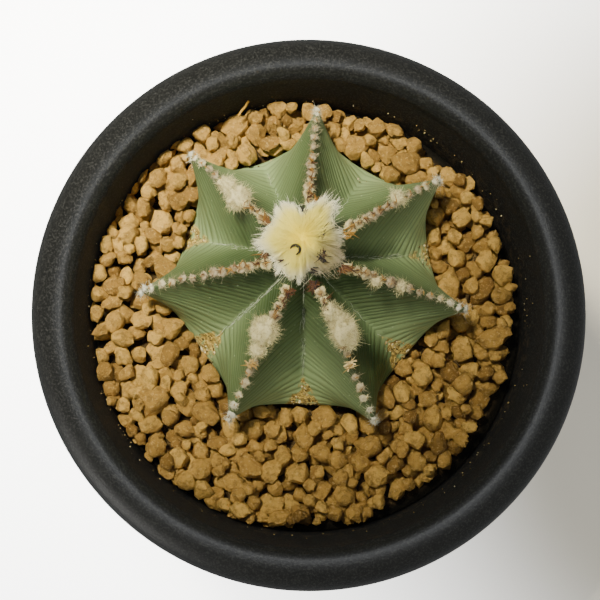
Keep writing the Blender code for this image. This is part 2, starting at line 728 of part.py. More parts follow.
def build_rib_wool(rib, finish, stand, clearance, crown_space):
    """One rib's areoles: the band of tufts, short spines near the crown, and clumps' locks."""
    draw = random.Random(AREOLE_SEED + rib)
    ages = areole_ages(rib)
    chain = build_chain(rib, ages, finish, stand)
    pieces = []
    for index in range(SPINED_AREOLES):
        foot_lift = SPINE_FOOT_SHARE * AREOLE_THICKNESS
        place, along, across, normal = edge_place(rib, ages[index], foot_lift)
        side = 1 if index % 2 else -1
        lean = SPINE_RISE * normal + draw.uniform(*SPINE_SPREAD) * side * across
        lean += draw.uniform(*SPINE_SWEEP) * along
        tip = place + draw.uniform(*SPINE_LENGTHS) * lean.normalized()
        pieces.append(spike("spine", place, tip, SPINE_RADIUS, stand))
    for clump_rib, radius, half_length, half_width in WOOL_CLUMPS:
        if clump_rib != rib:
            continue
        for index in range(CLUMP_LOCKS):
            offset = CLUMP_LOCK_OFFSET * draw.uniform(-1, 1) * half_length
            age = age_at_radius(radius + offset)
            place, along, across, normal = edge_place(rib, age, CLUMP_LOCK_FOOT * half_width)
            spread = CLUMP_LOCK_SPREAD * math.sin(index * GOLDEN_ANGLE)
            lean = normal + spread * across + CLUMP_LOCK_SWEEP * draw.uniform(-1, 1) * along
            tip = place + CLUMP_LOCK_LENGTH * half_width * lean.normalized()
            pieces.append(spike("lock", place, tip, CLUMP_LOCK_RADIUS * half_width, stand))
    fuse(chain, pieces)
    cut_away(chain, clearance)
    cut_away(chain, crown_space)
    keep_largest_body(chain)
    return chain


def build_crown_space(stand):
    """The rounded space that the crown wool keeps to, with a gap, so the ribs' wool ends at it."""
    radii = tuple(radius + CROWN_CLEARANCE for radius in CROWN_RADII)
    draw = random.Random(CROWN_SEED)
    upright = Matrix.Identity(3)
    space = lumpy_ball("crown_space", CROWN_CENTRE, radii, upright, 0.0, draw, 3, stand)
    make_guide(space)
    return space


def build_crown_wool(finish, stand, clearance):
    """A cushion over the growing point and locks of hair on every side of it."""
    draw = random.Random(CROWN_SEED)
    centre = Vector(CROWN_CENTRE)
    upright = Matrix.Identity(3)
    wool = lumpy_ball("crown_wool", centre, CROWN_RADII, upright, CROWN_LUMPS, draw, 2, stand, finish)
    locks = []
    for index in range(LOCK_COUNT):
        height = 1 - (index + 0.5) / LOCK_COUNT
        azimuth = index * GOLDEN_ANGLE + draw.uniform(-0.2, 0.2)
        level = math.sqrt(max(0.0, 1 - height * height))
        way = Vector((level * math.cos(azimuth), level * math.sin(azimuth), height))
        surface = Vector(way[axis] * CROWN_RADII[axis] for axis in range(3))
        foot = centre + LOCK_FOOT_SHARE * surface
        tip = centre + surface + draw.uniform(*LOCK_LENGTHS) * surface.normalized()
        locks.append(spike("lock", foot, tip, LOCK_RADIUS, stand))
    fuse(wool, locks)
    cut_away(wool, clearance)
    keep_largest_body(wool)
    return wool


def build_plant_stand():
    """An empty at the soil line, which carries the plant's place and lean."""
    stand = bpy.data.objects.new("plant_stand", None)
    bpy.context.scene.collection.objects.link(stand)
    stand.location = PLANT_BASE
    stand.rotation_euler = (math.radians(PLANT_LEAN_X_DEG), math.radians(PLANT_LEAN_Y_DEG), 0.0)
    bpy.context.view_layer.update()
    return stand


def main():
    clear_scene()
    black_plastic = make_material("black_plastic", (0.030, 0.031, 0.030), 0.62)
    tan_grit = make_material("tan_grit", (0.30, 0.19, 0.075), 0.92)
    green_skin = make_material("green_skin", (0.115, 0.155, 0.060), 0.62)
    cream_wool = make_material("cream_wool", (0.66, 0.57, 0.30), 0.95)
    grey_wool = make_material("grey_wool", (0.46, 0.40, 0.27), 0.95)

    stand = build_plant_stand()
    build_pot(black_plastic)
    build_body(green_skin, stand)
    clearance = build_clearance(stand)
    crown_space = build_crown_space(stand)
    build_grit(tan_grit, clearance)
    build_crown_wool(cream_wool, stand, clearance)
    for rib in range(len(RIB_AZIMUTHS_DEG)):
        build_rib_wool(rib, grey_wool, stand, clearance, crown_space)


main()
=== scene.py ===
# %% [markdown]
# A small ringed cactus, an aztekium, in a round black pot, dressed from a fixed frame.
#
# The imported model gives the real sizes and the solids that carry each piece. This lesson keeps
# those sizes and makes the surfaces that the eye meets: moulded plastic, crumbly grit, ringed
# skin and wool. Nearly every shape is worked out as whole numpy arrays, because hundreds of
# grains and thousands of hairs are then as easy as one.

# %% Load the frame
import math

import bpy
import numpy as np
from mathutils import Euler, Matrix, Vector


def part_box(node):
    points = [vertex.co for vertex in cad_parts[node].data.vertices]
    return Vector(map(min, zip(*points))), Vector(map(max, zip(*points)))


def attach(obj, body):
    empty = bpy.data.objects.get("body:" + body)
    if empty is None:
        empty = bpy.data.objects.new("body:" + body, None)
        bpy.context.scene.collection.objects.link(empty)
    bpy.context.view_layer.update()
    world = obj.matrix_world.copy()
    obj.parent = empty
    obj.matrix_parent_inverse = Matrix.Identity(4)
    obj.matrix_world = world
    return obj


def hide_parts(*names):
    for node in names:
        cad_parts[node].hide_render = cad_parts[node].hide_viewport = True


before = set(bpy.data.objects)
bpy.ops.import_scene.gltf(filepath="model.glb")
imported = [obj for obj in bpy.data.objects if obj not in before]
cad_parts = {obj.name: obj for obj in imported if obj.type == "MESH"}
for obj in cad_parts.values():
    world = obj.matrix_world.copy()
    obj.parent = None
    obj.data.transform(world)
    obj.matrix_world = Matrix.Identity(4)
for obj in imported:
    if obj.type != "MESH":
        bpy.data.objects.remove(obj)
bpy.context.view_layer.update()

print("Frame pieces:", ", ".join(sorted(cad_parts)))

# %% [markdown]
# The camera looks almost straight down into the pot. Its place could be judged by eye, but a
# fit is surer: the rim, the soil line and the seven rib tips each fix a part of it. The focal
# length is kept in pixels of a 600 pixel image, and the image's optical centre is not its
# middle, so the lens is shifted a little.

# %% Camera
IMAGE_PIXELS = 600
FOCAL_PIXELS = 2058
CENTRE_PIXEL = (310, 309)
SENSOR_MM = 36
CAMERA_AWAY = 0.280
LEAN_LEFT_DEG = 1.3
LEAN_FRONT_DEG = 6.0

_, POT_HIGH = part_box("pot")
POT_HEIGHT = POT_HIGH.z


def place_camera():
    """Put the camera on a line that leans from the rim's centre, with +Y up in the image."""
    left, front = -math.sin(math.radians(LEAN_LEFT_DEG)), -math.sin(math.radians(LEAN_FRONT_DEG))
    back = Vector((left, front, math.sqrt(1 - left**2 - front**2)))
    right = Vector((0, 1, 0)).cross(back).normalized()
    turn = Matrix((right, back.cross(right), back)).transposed().to_4x4()
    data = bpy.data.cameras.new("camera")
    data.sensor_width = SENSOR_MM
    data.lens = FOCAL_PIXELS / IMAGE_PIXELS * SENSOR_MM
    data.shift_x = (IMAGE_PIXELS / 2 - CENTRE_PIXEL[0]) / IMAGE_PIXELS
    data.shift_y = (CENTRE_PIXEL[1] - IMAGE_PIXELS / 2) / IMAGE_PIXELS
    camera = bpy.data.objects.new("camera", data)
    camera.matrix_world = Matrix.Translation(Vector((0, 0, POT_HEIGHT)) + CAMERA_AWAY * back) @ turn
    bpy.context.scene.collection.objects.link(camera)
    bpy.context.scene.camera = camera
    return camera


camera = place_camera()
print("Camera at", [round(value, 3) for value in camera.location], "m")

# %% [markdown]
# Every piece below ends in the same step: an array of points and a few arrays of faces become a
# mesh. Writing the arrays straight into the mesh with foreach_set is far quicker than adding
# points one by one, and a number for each point, such as how old the skin is there, can ride
# along as an attribute for the material to read.

# %% From arrays to a piece


def make_object(name, points, faces, finish, **values):
    """A smooth mesh object at the origin, in one finish.

    Points are rows of x, y, z, and faces a list of arrays with one row of corners per face. Each
    further value is an array with one number per point, kept as an attribute of that name.
    """
    points = np.asarray(points, np.float32).reshape(-1, 3)
    corners = np.concatenate([group.ravel() for group in faces]).astype(np.int32)
    sizes = np.concatenate([np.full(len(group), group.shape[1]) for group in faces])
    mesh = bpy.data.meshes.new(name)
    mesh.vertices.add(len(points))
    mesh.vertices.foreach_set("co", points.ravel())
    mesh.loops.add(len(corners))
    mesh.loops.foreach_set("vertex_index", corners)
    mesh.polygons.add(len(sizes))
    mesh.polygons.foreach_set("loop_start", (np.cumsum(sizes) - sizes).astype(np.int32))
    mesh.update(calc_edges=True)
    mesh.shade_smooth()
    for label, numbers in values.items():
        attribute = mesh.attributes.new(label, "FLOAT", "POINT")
        attribute.data.foreach_set("value", np.asarray(numbers, np.float32).ravel())
    mesh.materials.append(finish)
    made = bpy.data.objects.new(name, mesh)
    bpy.context.scene.collection.objects.link(made)
    print(f"{name}: {int((sizes - 2).sum())} triangles")
    return made


def make_piece(name, points, faces, finish, slot, **values):
    """A piece of the dressed part, riding on the root body. The slot argument is not used."""
    piece = make_object(name, points, faces, finish, **values)
    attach(piece, "root")
    return piece


# %% [markdown]
# Most skins here are grids: rows of points down the piece, columns round it. Their faces follow
# from the counts alone, so they are worked out once, and a single point closes each end. Many
# rings and rows also lie round an axis, so one helper turns radius, direction and height into
# points.

# %% Grids round an axis
UP = np.array([0.0, 0.0, 1.0])


def round_axis(radius, turn, height):
    """Points at (radius cos turn, radius sin turn, height), of arrays that fit together."""
    parts = radius * np.cos(turn), radius * np.sin(turn), height
    return np.stack(np.broadcast_arrays(*parts), -1)


def grid_faces(rows, columns):
    """Quads between neighbouring rows of a grid whose columns close round."""
    row, column = np.meshgrid(np.arange(rows - 1), np.arange(columns), indexing="ij")
    after = (column + 1) % columns
    corners = [row * columns + column, (row + 1) * columns + column,
               (row + 1) * columns + after, row * columns + after]
    return np.stack(corners, -1).reshape(-1, 4)


def closed_grid(grid, first, last):
    """Points and faces of a closed skin: a grid of rings with a point that closes each end."""
    rows, columns = grid.shape[:2]
    ring = np.arange(columns)
    after = (ring + 1) % columns
    end = (rows - 1) * columns
    start_fan = np.stack([np.full(columns, rows * columns), ring, after], -1)
    end_fan = np.stack([end + after, end + ring, np.full(columns, rows * columns + 1)], -1)
    points = np.concatenate([grid.reshape(-1, 3), [first], [last]])
    return points, [grid_faces(rows, columns), start_fan, end_fan]


def joined(parts):
    """Several sets of points and faces as one, with each set's corners counted on."""
    starts = np.cumsum([0] + [len(points) for points, _ in parts])
    points = np.concatenate([points for points, _ in parts])
    faces = [group + start for (_, groups), start in zip(parts, starts) for group in groups]
    return points, faces


# %% [markdown]
# A finish is a Principled shader fed by a few procedural textures. They could be painted images,
# but patterns that are worked out stay sharp close up. They all read Object coordinates in
# metres, so a noise scale of 2000 makes spots of about half a millimetre. What is the same all
# over a surface is set on the shader's own sockets. Colours are built up as a painter does it: a
# base, and then washes that each cover a share of it.

# %% Wiring a finish


def colour(red, green, blue):
    """A display colour, 0 to 255, as the linear one that the shader works in."""
    display = np.array([red, green, blue]) / 255
    linear = np.where(display > 0.04045, ((display + 0.055) / 1.055) ** 2.4, display / 12.92)
    return (*linear.tolist(), 1.0)


def start_finish(name, roughness, **constants):
    """A new material, its node tree, its shader and its Object coordinates."""
    material = bpy.data.materials.new(name)
    material.use_nodes = True
    tree = material.node_tree
    shader = tree.nodes["Principled BSDF"]
    shader.inputs["Roughness"].default_value = roughness
    for socket, value in constants.items():
        shader.inputs[socket.replace("_", " ")].default_value = value
    place = tree.nodes.new("ShaderNodeTexCoord").outputs["Object"]
    return material, tree, shader, place


def add_node(tree, kind, inputs, **settings):
    """A node with its settings, and its inputs set to a value or wired from another node."""
    node = tree.nodes.new(kind)
    for name, value in settings.items():
        setattr(node, name, value)
    for key, value in inputs.items():
        if isinstance(value, bpy.types.NodeSocket):
            tree.links.new(value, node.inputs[key])
        else:
            node.inputs[key].default_value = value
    return node


def blend_range(tree, value, low, high, start=0.0, end=1.0):
    """A smooth step from start to end as the value goes from low to high."""
    inputs = {"Value": value, 1: low, 2: high, 3: start, 4: end}
    node = add_node(tree, "ShaderNodeMapRange", inputs, interpolation_type="SMOOTHSTEP")
    return node.outputs["Result"]


def multiply(tree, first, second):
    """The product of two values."""
    return add_node(tree, "ShaderNodeMath", {0: first, 1: second}, operation="MULTIPLY").outputs[0]


def mix(tree, share, first, second):
    """The first colour, giving way to the second as the share goes from 0 to 1."""
    inputs = {0: share, 6: first, 7: second}
    return add_node(tree, "ShaderNodeMix", inputs, data_type="RGBA").outputs[2]


def wash(tree, base, value, span, most, tone):
    """The base under a wash of another colour: its share goes from 0 to the most over the span."""
    return mix(tree, blend_range(tree, value, *span, 0.0, most), base, colour(*tone))


# %% [markdown]
# The stage is a plain pale floor. A white sheet would need so much light that the plant burnt
# out. So the floor glows a little, as a sheet on a light table does, and it is near white while
# the plant keeps its middle tones. Only the camera sees the glow. To the right of the pot a
# painted shadow lies on it: the glow fades and the paper turns a darker tan there.

# %% Floor
FLOOR_HALF = 4.0
FLOOR_GLOW = 5.0
SHADOW_PATCH_CENTRE = (0.082, -0.008, 0.0)
SHADOW_PATCH_RADII = (0.040, 0.120)
SHADOW_PATCH_GLOW = 0.036


def floor_finish():
    """Glowing pale paper, with a painted shadow to the right of the pot: darker, dimmer paper."""
    material, tree, shader, place = start_finish("pale_floor", 0.6, Specular_IOR_Level=0.2)
    away = add_node(tree, "ShaderNodeVectorMath", {0: place, 1: SHADOW_PATCH_CENTRE}, operation="DISTANCE")
    # Painted shadow: towards the patch's centre the glow drops and the paper turns a darker tan
    clear = blend_range(tree, away.outputs["Value"], *SHADOW_PATCH_RADII, SHADOW_PATCH_GLOW, 1.0)
    paper = mix(tree, clear, colour(214, 204, 176), colour(240, 240, 236))
    tree.links.new(paper, shader.inputs["Base Color"])
    tree.links.new(multiply(tree, clear, FLOOR_GLOW), shader.inputs["Emission Strength"])
    shader.inputs["Emission Color"].default_value = (1.0, 1.0, 0.98, 1.0)
    return material


def make_floor():
    """A pale sheet at the height that the pot stands on."""
    corners = FLOOR_HALF * np.array([(-1, -1, 0), (1, -1, 0), (1, 1, 0), (-1, 1, 0)])
    floor = make_object("floor", corners, [np.array([(0, 1, 2, 3)])], floor_finish())
    floor.visible_diffuse = False
    floor.visible_glossy = False


make_floor()

# %% [markdown]
# The rim tells where the light comes from: a highlight lies where the plastic's slope is halfway
# between lamp and camera, and here it runs along the crest all the way round. Only a broad panel
# nearly straight above does that. The grit tells the rest: it is far brighter at the left than
# at the right, so a second, warmer beam comes from the upper left and fades out across the pot.
# An even pale world opens the shadows. A weak low lamp at the front left shows the pot's side,
# and one at the front right lifts the flanks that face away from the beam. One lamp could do
# more than one of these jobs, but each is easier to set alone: the panel lights nothing but the
# gloss, and the beam and the front right lamp leave no highlight.

# %% Light
WORLD_COLOUR = (0.955, 0.985, 1.0, 1.0)
WORLD_STRENGTH = 0.36
# Each lamp's place, the point that it faces, its watts and its tint
KEY_LAMP = ((-0.200, 0.190, 0.67), (-0.054, 0.066, 0.056), 170.0, (1.0, 0.96, 0.88))
PANEL_LAMP = ((0.010, 0.050, 0.73), (0.010, 0.050, 0.0), 2.5, (0.94, 0.97, 1.0))
SIDE_LAMP = ((-0.46, -0.38, 0.08), (0, 0, 0.035), 1.5, (1.0, 0.98, 0.95))
FILL_LAMP = ((0.33, -0.33, 0.30), (0, 0, 0.070), 0.62, (1.0, 1.0, 0.98))
KEY_CONE_DEG = 15.0
KEY_SOFTNESS = 0.07


def light_world():
    """An even pale light from all round."""
    world = bpy.data.worlds.new("pale_room")
    bpy.context.scene.world = world
    world.use_nodes = True
    background = world.node_tree.nodes["Background"]
    background.inputs["Color"].default_value = WORLD_COLOUR
    background.inputs["Strength"].default_value = WORLD_STRENGTH


def add_lamp(name, kind, place, aim, power, tint, **settings):
    """A lamp that faces a point, as an object."""
    data = bpy.data.lights.new(name, kind)
    data.energy = power
    data.color = tint
    for setting, value in settings.items():
        setattr(data, setting, value)
    lamp = bpy.data.objects.new(name, data)
    beam = Vector(aim) - Vector(place)
    lamp.location = place
    lamp.rotation_euler = beam.to_track_quat("-Z", "Y").to_euler()
    bpy.context.scene.collection.objects.link(lamp)
    print(f"{name} lamp: {power} W from {beam.length:.2f} m")
    return lamp


light_world()
key = add_lamp("key", "SPOT", *KEY_LAMP, spot_size=math.radians(KEY_CONE_DEG), spot_blend=1.0,
               shadow_soft_size=KEY_SOFTNESS)
panel = add_lamp("panel", "AREA", *PANEL_LAMP, size=0.22)
add_lamp("side", "AREA", *SIDE_LAMP, size=0.30)
fill = add_lamp("fill", "AREA", *FILL_LAMP, size=0.16)
key.visible_glossy = False
panel.visible_diffuse = False
fill.visible_glossy = False

# %% [markdown]
# The pot is one moulding, the same all round, so its wall is a profile turned about Z. The
# profile is made of straight runs and arcs: the foot ring, the tapering wall, the lip that
# rolls out and over, and the inside down to the floor. Screw or Spin would do it too, but with
# the profile as an array the whole skin is one multiplication.

# %% Pot shape
RIM_RADIUS = POT_HIGH.x
RIM_CREST_RADIUS = 0.0342
RIM_WIDEST_DROP = 0.0038
LIP_INNER_RADIUS = 0.0321
LIP_INNER_DROP = 0.0026
LIP_UNDERSIDE = 0.0577
LIP_FILLET = 0.0007
WALL_TOP_RADIUS = 0.0326
WALL_THICKNESS = 0.0018
FOOT_RADIUS = 0.0257
FOOT_WIDTH = 0.0021
FOOT_BEVEL = 0.0005
FLOOR_UNDERSIDE = 0.0030
FLOOR_TOP = 0.0050
FLOOR_FILLET = 0.0016
SOIL_LEVEL = 0.0560
OUTSIDE_START = 0.0040
OUTSIDE_ROWS = 14
INSIDE_DROP = 0.0008
INSIDE_ROWS = 16
POT_SIDES = 192


def arc(centre, radii, start_deg, end_deg, count):
    """Points of an elliptical arc: the centre plus (a cos t, b sin t) for evenly spaced t."""
    angle = np.radians(np.linspace(start_deg, end_deg, count))
    return np.stack([centre[0] + radii[0] * np.cos(angle), centre[1] + radii[1] * np.sin(angle)], -1)


def wall_outside(height):
    """The outer wall's radius, which grows evenly from the foot to the lip's underside."""
    return FOOT_RADIUS + (WALL_TOP_RADIUS - FOOT_RADIUS) * height / LIP_UNDERSIDE


def wall_inside(height):
    """The inner wall's radius: a wall's thickness in, then flaring over the soil to the lip."""
    height = np.asarray(height, float)
    straight = wall_outside(np.minimum(height, SOIL_LEVEL)) - WALL_THICKNESS
    share = (height - SOIL_LEVEL) / (POT_HEIGHT - LIP_INNER_DROP - SOIL_LEVEL)
    return straight + (LIP_INNER_RADIUS - straight) * np.clip(share, 0, 1)


def pot_profile():
    """The pot's outline as (radius, height), from under the floor round the lip to its top."""
    widest = POT_HEIGHT - RIM_WIDEST_DROP
    roll = RIM_RADIUS - RIM_CREST_RADIUS
    foot_inner = FOOT_RADIUS - FOOT_WIDTH
    foot = [
        (foot_inner - 2 * FOOT_BEVEL, FLOOR_UNDERSIDE),
        (foot_inner - FOOT_BEVEL, FLOOR_UNDERSIDE - FOOT_BEVEL),
        (foot_inner, 0), (FOOT_RADIUS - FOOT_BEVEL, 0), (wall_outside(FOOT_BEVEL), FOOT_BEVEL),
    ]
    outside = np.linspace(OUTSIDE_START, LIP_UNDERSIDE - LIP_FILLET, OUTSIDE_ROWS)
    under_roll = arc((RIM_CREST_RADIUS, widest), (roll, widest - LIP_UNDERSIDE), -80, -8, 9)
    outer_roll = arc((RIM_CREST_RADIUS, widest), (roll, RIM_WIDEST_DROP), 0, 90, 16)
    lip_end = POT_HEIGHT - LIP_INNER_DROP
    inner_radii = (RIM_CREST_RADIUS - LIP_INNER_RADIUS, LIP_INNER_DROP)
    inner_roll = arc((RIM_CREST_RADIUS, lip_end), inner_radii, 96, 180, 12)
    inside = np.linspace(lip_end - INSIDE_DROP, FLOOR_TOP + FLOOR_FILLET, INSIDE_ROWS)
    return np.concatenate([
        foot,
        np.stack([wall_outside(outside), outside], -1),
        [(wall_outside(LIP_UNDERSIDE) + LIP_FILLET, LIP_UNDERSIDE)],
        under_roll, outer_roll, inner_roll,
        np.stack([wall_inside(inside), inside], -1),
        [(wall_inside(FLOOR_TOP) - FLOOR_FILLET, FLOOR_TOP)],
    ])


def turn_profile(profile, sides):
    """A grid of points: each (r, z) of the profile at (r cos t, r sin t, z) for t round the axis."""
    return round_axis(profile[:, :1], np.arange(sides) * 2 * np.pi / sides, profile[:, 1:])


pot_outline = pot_profile()
print(f"Pot outline: {len(pot_outline)} points, {pot_outline[:, 0].max() * 2000:.1f} mm across, "
      f"{pot_outline[:, 1].max() * 1000:.1f} mm high")

# %% [markdown]
# Water leaves through eight slots in the floor, and air gets under the foot through four
# notches. Both are cut with blocks: one mesh of twelve boxes, taken away by a Boolean. The
# result replaces the mesh and the cutter is removed, so nothing live is left on the pot.

# %% Pot openings
DRAIN_SLOTS = 8
SLOT_WIDTH = 0.0020
SLOT_SPAN = (0.0070, 0.0190)
FOOT_NOTCHES = 4
NOTCH_WIDTH = 0.0060
NOTCH_HEIGHT = 0.0012
BOX_CORNERS = np.array([(x, y, z) for x in (-1, 1) for y in (-1, 1) for z in (-1, 1)]) / 2
BOX_FACES = np.array([
    (0, 1, 3, 2), (4, 6, 7, 5), (0, 4, 5, 1), (2, 3, 7, 6), (0, 2, 6, 4), (1, 5, 7, 3),
])


def ring_of_blocks(count, first_turn, size, centre):
    """Blocks of one size set round the axis, as points and faces."""
    turns = first_turn + np.arange(count) * 2 * np.pi / count
    block = BOX_CORNERS * size + centre
    x = block[:, 0] * np.cos(turns)[:, None] - block[:, 1] * np.sin(turns)[:, None]
    y = block[:, 0] * np.sin(turns)[:, None] + block[:, 1] * np.cos(turns)[:, None]
    points = np.stack([x, y, np.broadcast_to(block[:, 2], x.shape)], -1)
    faces = BOX_FACES + 8 * np.arange(count)[:, None, None]
    return points.reshape(-1, 3), [faces.reshape(-1, 4)]


def cut_openings(pot, finish):
    """Take the slots and notches out of the pot with one Boolean."""
    slot_size = (SLOT_SPAN[1] - SLOT_SPAN[0], SLOT_WIDTH, 3 * (FLOOR_TOP - FLOOR_UNDERSIDE))
    slot_centre = (sum(SLOT_SPAN) / 2, 0, (FLOOR_TOP + FLOOR_UNDERSIDE) / 2)
    notch_size = (4 * FOOT_WIDTH, NOTCH_WIDTH, 2 * NOTCH_HEIGHT)
    notch_centre = (FOOT_RADIUS - FOOT_WIDTH / 2, 0, 0)
    blocks = joined([
        ring_of_blocks(DRAIN_SLOTS, math.pi / DRAIN_SLOTS, slot_size, slot_centre),
        ring_of_blocks(FOOT_NOTCHES, 0, notch_size, notch_centre),
    ])
    cutter = make_object("opening_blocks", *blocks, finish)
    cut = pot.modifiers.new("openings", "BOOLEAN")
    cut.operation = "DIFFERENCE"
    cut.object = cutter
    graph = bpy.context.evaluated_depsgraph_get()
    mesh = bpy.data.meshes.new_from_object(pot.evaluated_get(graph))
    pot.modifiers.clear()
    pot.data = mesh
    bpy.data.objects.remove(cutter, do_unlink=True)


# %% [markdown]
# The plastic is black polypropylene from a lightly blasted mould. Close up it has a fine grain
# that breaks up its dull shine, and just over the soil the wall is brown with grit dust. The
# grain is bump, since it is too fine for a mesh. The dust is a mix of colours by height, broken
# by noise so that no edge shows. The inside is told from the outside by the distance from the
# axis less what the wall widens with height, which stays the same all the way up.

# %% Pot finish
DUST_TOP = 0.0595
DUST_FULL = 0.0565
RIM_ROUGHNESS = 0.42
WALL_ROUGHNESS = 0.85
MOULD_GRAIN = 0.00007
# How far in from the outer wall the inside's look begins, and how far in it is full
INSIDE_STEP = (0.0004, 0.0010)
POT_EDGE_DEG = 40


def noise(tree, place, scale, detail=3.0, roughness=0.55):
    """Cloudy noise from 0 to 1."""
    inputs = {"Vector": place, "Scale": scale, "Detail": detail, "Roughness": roughness}
    return add_node(tree, "ShaderNodeTexNoise", inputs).outputs["Fac"]


def from_axis(tree, place):
    """The distance from the Z axis."""
    flat = add_node(tree, "ShaderNodeVectorMath", {0: place, 1: (1, 1, 0)}, operation="MULTIPLY")
    inputs = {0: flat.outputs["Vector"]}
    return add_node(tree, "ShaderNodeVectorMath", inputs, operation="LENGTH").outputs["Value"]


def bump(tree, shader, height, distance, strength=1.0):
    """Tilt the shading as if the surface rose by the distance where the height is 1."""
    inputs = {"Height": height, "Distance": distance, "Strength": strength}
    node = add_node(tree, "ShaderNodeBump", inputs)
    tree.links.new(node.outputs["Normal"], shader.inputs["Normal"])


def plastic_finish():
    """Black, with a fine moulded grain, duller inside, and brown dust just over the soil."""
    material, tree, shader, place = start_finish(
        "black_plastic", RIM_ROUGHNESS, Specular_IOR_Level=0.36,
    )
    grain = noise(tree, place, 3600.0, 3.0, 0.65)
    base = mix(tree, noise(tree, place, 60.0), colour(14, 14, 11), colour(20, 20, 17))
    base = wash(tree, base, grain, (0.46, 0.66), 0.6, (52, 52, 48))
    height = add_node(tree, "ShaderNodeSeparateXYZ", {0: place}).outputs["Z"]
    widening = multiply(tree, height, (WALL_TOP_RADIUS - FOOT_RADIUS) / LIP_UNDERSIDE)
    inputs = {0: from_axis(tree, place), 1: widening}
    upright = add_node(tree, "ShaderNodeMath", inputs, operation="SUBTRACT").outputs[0]
    inside = blend_range(tree, upright, FOOT_RADIUS - INSIDE_STEP[0], FOOT_RADIUS - INSIDE_STEP[1])
    inside = multiply(tree, inside, blend_range(tree, height, FLOOR_TOP, SOIL_LEVEL))
    low = blend_range(tree, height, DUST_TOP, DUST_FULL, 0.0, 0.7)
    cloud = blend_range(tree, noise(tree, place, 900.0, 5.0, 0.7), 0.46, 0.66)
    dust = multiply(tree, multiply(tree, low, inside), cloud)
    base = mix(tree, dust, base, colour(66, 56, 38))
    tree.links.new(base, shader.inputs["Base Color"])
    dull = blend_range(tree, inside, 0.0, 1.0, RIM_ROUGHNESS, WALL_ROUGHNESS)
    tree.links.new(dull, shader.inputs["Roughness"])
    bump(tree, shader, grain, MOULD_GRAIN, 0.8)
    return material


# %% [markdown]
# The pot comes together here: the turned skin takes its finish and loses its openings. Smooth
# shading suits the lip but smears the foot's corners and the slots. Splitting the mesh there
# would do, but marking every edge over forty degrees as sharp leaves the skin whole.

# %% Make the pot
black_plastic = plastic_finish()
pot_grid = turn_profile(pot_outline, POT_SIDES)
pot_skin = closed_grid(pot_grid, (0, 0, FLOOR_UNDERSIDE), (0, 0, FLOOR_TOP))
pot = make_piece("pot_shell", *pot_skin, black_plastic, "black_plastic")
cut_openings(pot, black_plastic)
pot.data.set_sharp_from_angle(angle=math.radians(POT_EDGE_DEG))
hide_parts("pot")

# %% [markdown]
# The plant is one grown body with seven ribs. Each growth ring of its skin was once a ring at
# the growing point, and has moved outwards and down since. So the surface has two natural
# parameters: age, from the tip to below the soil, and the step across a rib, from valley over
# edge to valley. Two curves, one down a rib's edge and one down a valley, carry the whole form.

# %% Plant curves
PLANT_BASE = np.array([-0.0004, 0.0053, SOIL_LEVEL])
PLANT_TURN = np.array(Euler((math.radians(-0.7), math.radians(-1.7), 0)).to_matrix())
# Each rib's direction, in degrees from +X, one after another clockwise
RIBS = np.radians([85.7, 34.3, -13.4, -65.4, -117.0, -173.1, -225.6])
# Down a rib's edge, and down a valley: age, radius and height over the soil (m)
RIB_EDGE = np.array([
    (0.00, 0.0000, 0.0203), (0.07, 0.0022, 0.0210), (0.17, 0.0055, 0.0206),
    (0.30, 0.0096, 0.0185), (0.44, 0.0142, 0.0156), (0.58, 0.0188, 0.0124),
    (0.70, 0.0214, 0.0101), (0.77, 0.0224, 0.0086), (0.83, 0.0225, 0.0068),
    (0.91, 0.0213, 0.0035), (1.00, 0.0196, 0.0000), (1.10, 0.0164, -0.0035),
    (1.22, 0.0122, -0.0075), (1.34, 0.0078, -0.0120),
])
VALLEY_LINE = np.array([
    (0.00, 0.0000, 0.0203), (0.07, 0.0011, 0.0202), (0.17, 0.0026, 0.0190),
    (0.30, 0.0045, 0.0162), (0.44, 0.0067, 0.0130), (0.58, 0.0089, 0.0099),
    (0.70, 0.0110, 0.0074), (0.77, 0.0125, 0.0060), (0.83, 0.0139, 0.0046),
    (0.91, 0.0159, 0.0022), (1.00, 0.0177, -0.0004), (1.10, 0.0152, -0.0038),
    (1.22, 0.0114, -0.0075), (1.34, 0.0076, -0.0120),
])
RIB_INDEX = np.arange(len(RIBS))
LEFT_VALLEYS = (RIBS + np.roll(RIBS, 1) + 2 * np.pi * (RIB_INDEX == 0)) / 2
RIGHT_VALLEYS = np.roll(LEFT_VALLEYS, -1) - 2 * np.pi * (RIB_INDEX == len(RIBS) - 1)
EDGE_ROUNDING = 0.055
FLANK_HOLLOW = 0.10


def follow(line, ages):
    """Radius and height at each age, on a cubic between the line's points.

    At a point the slope is that of the chord between its neighbours.
    """
    knots, values = line[:, 0], line[:, 1:]
    slopes = np.gradient(values, knots, axis=0)
    ages = np.clip(np.asarray(ages, float), knots[0], knots[-1])
    span = np.clip(np.searchsorted(knots, ages, side="right") - 1, 0, len(knots) - 2)
    width = (knots[span + 1] - knots[span])[..., None]
    t = (ages - knots[span])[..., None] / width
    return ((2 * t**3 - 3 * t**2 + 1) * values[span] + (t**3 - 2 * t**2 + t) * width * slopes[span]
            + (3 * t**2 - 2 * t**3) * values[span + 1] + (t**3 - t**2) * width * slopes[span + 1])


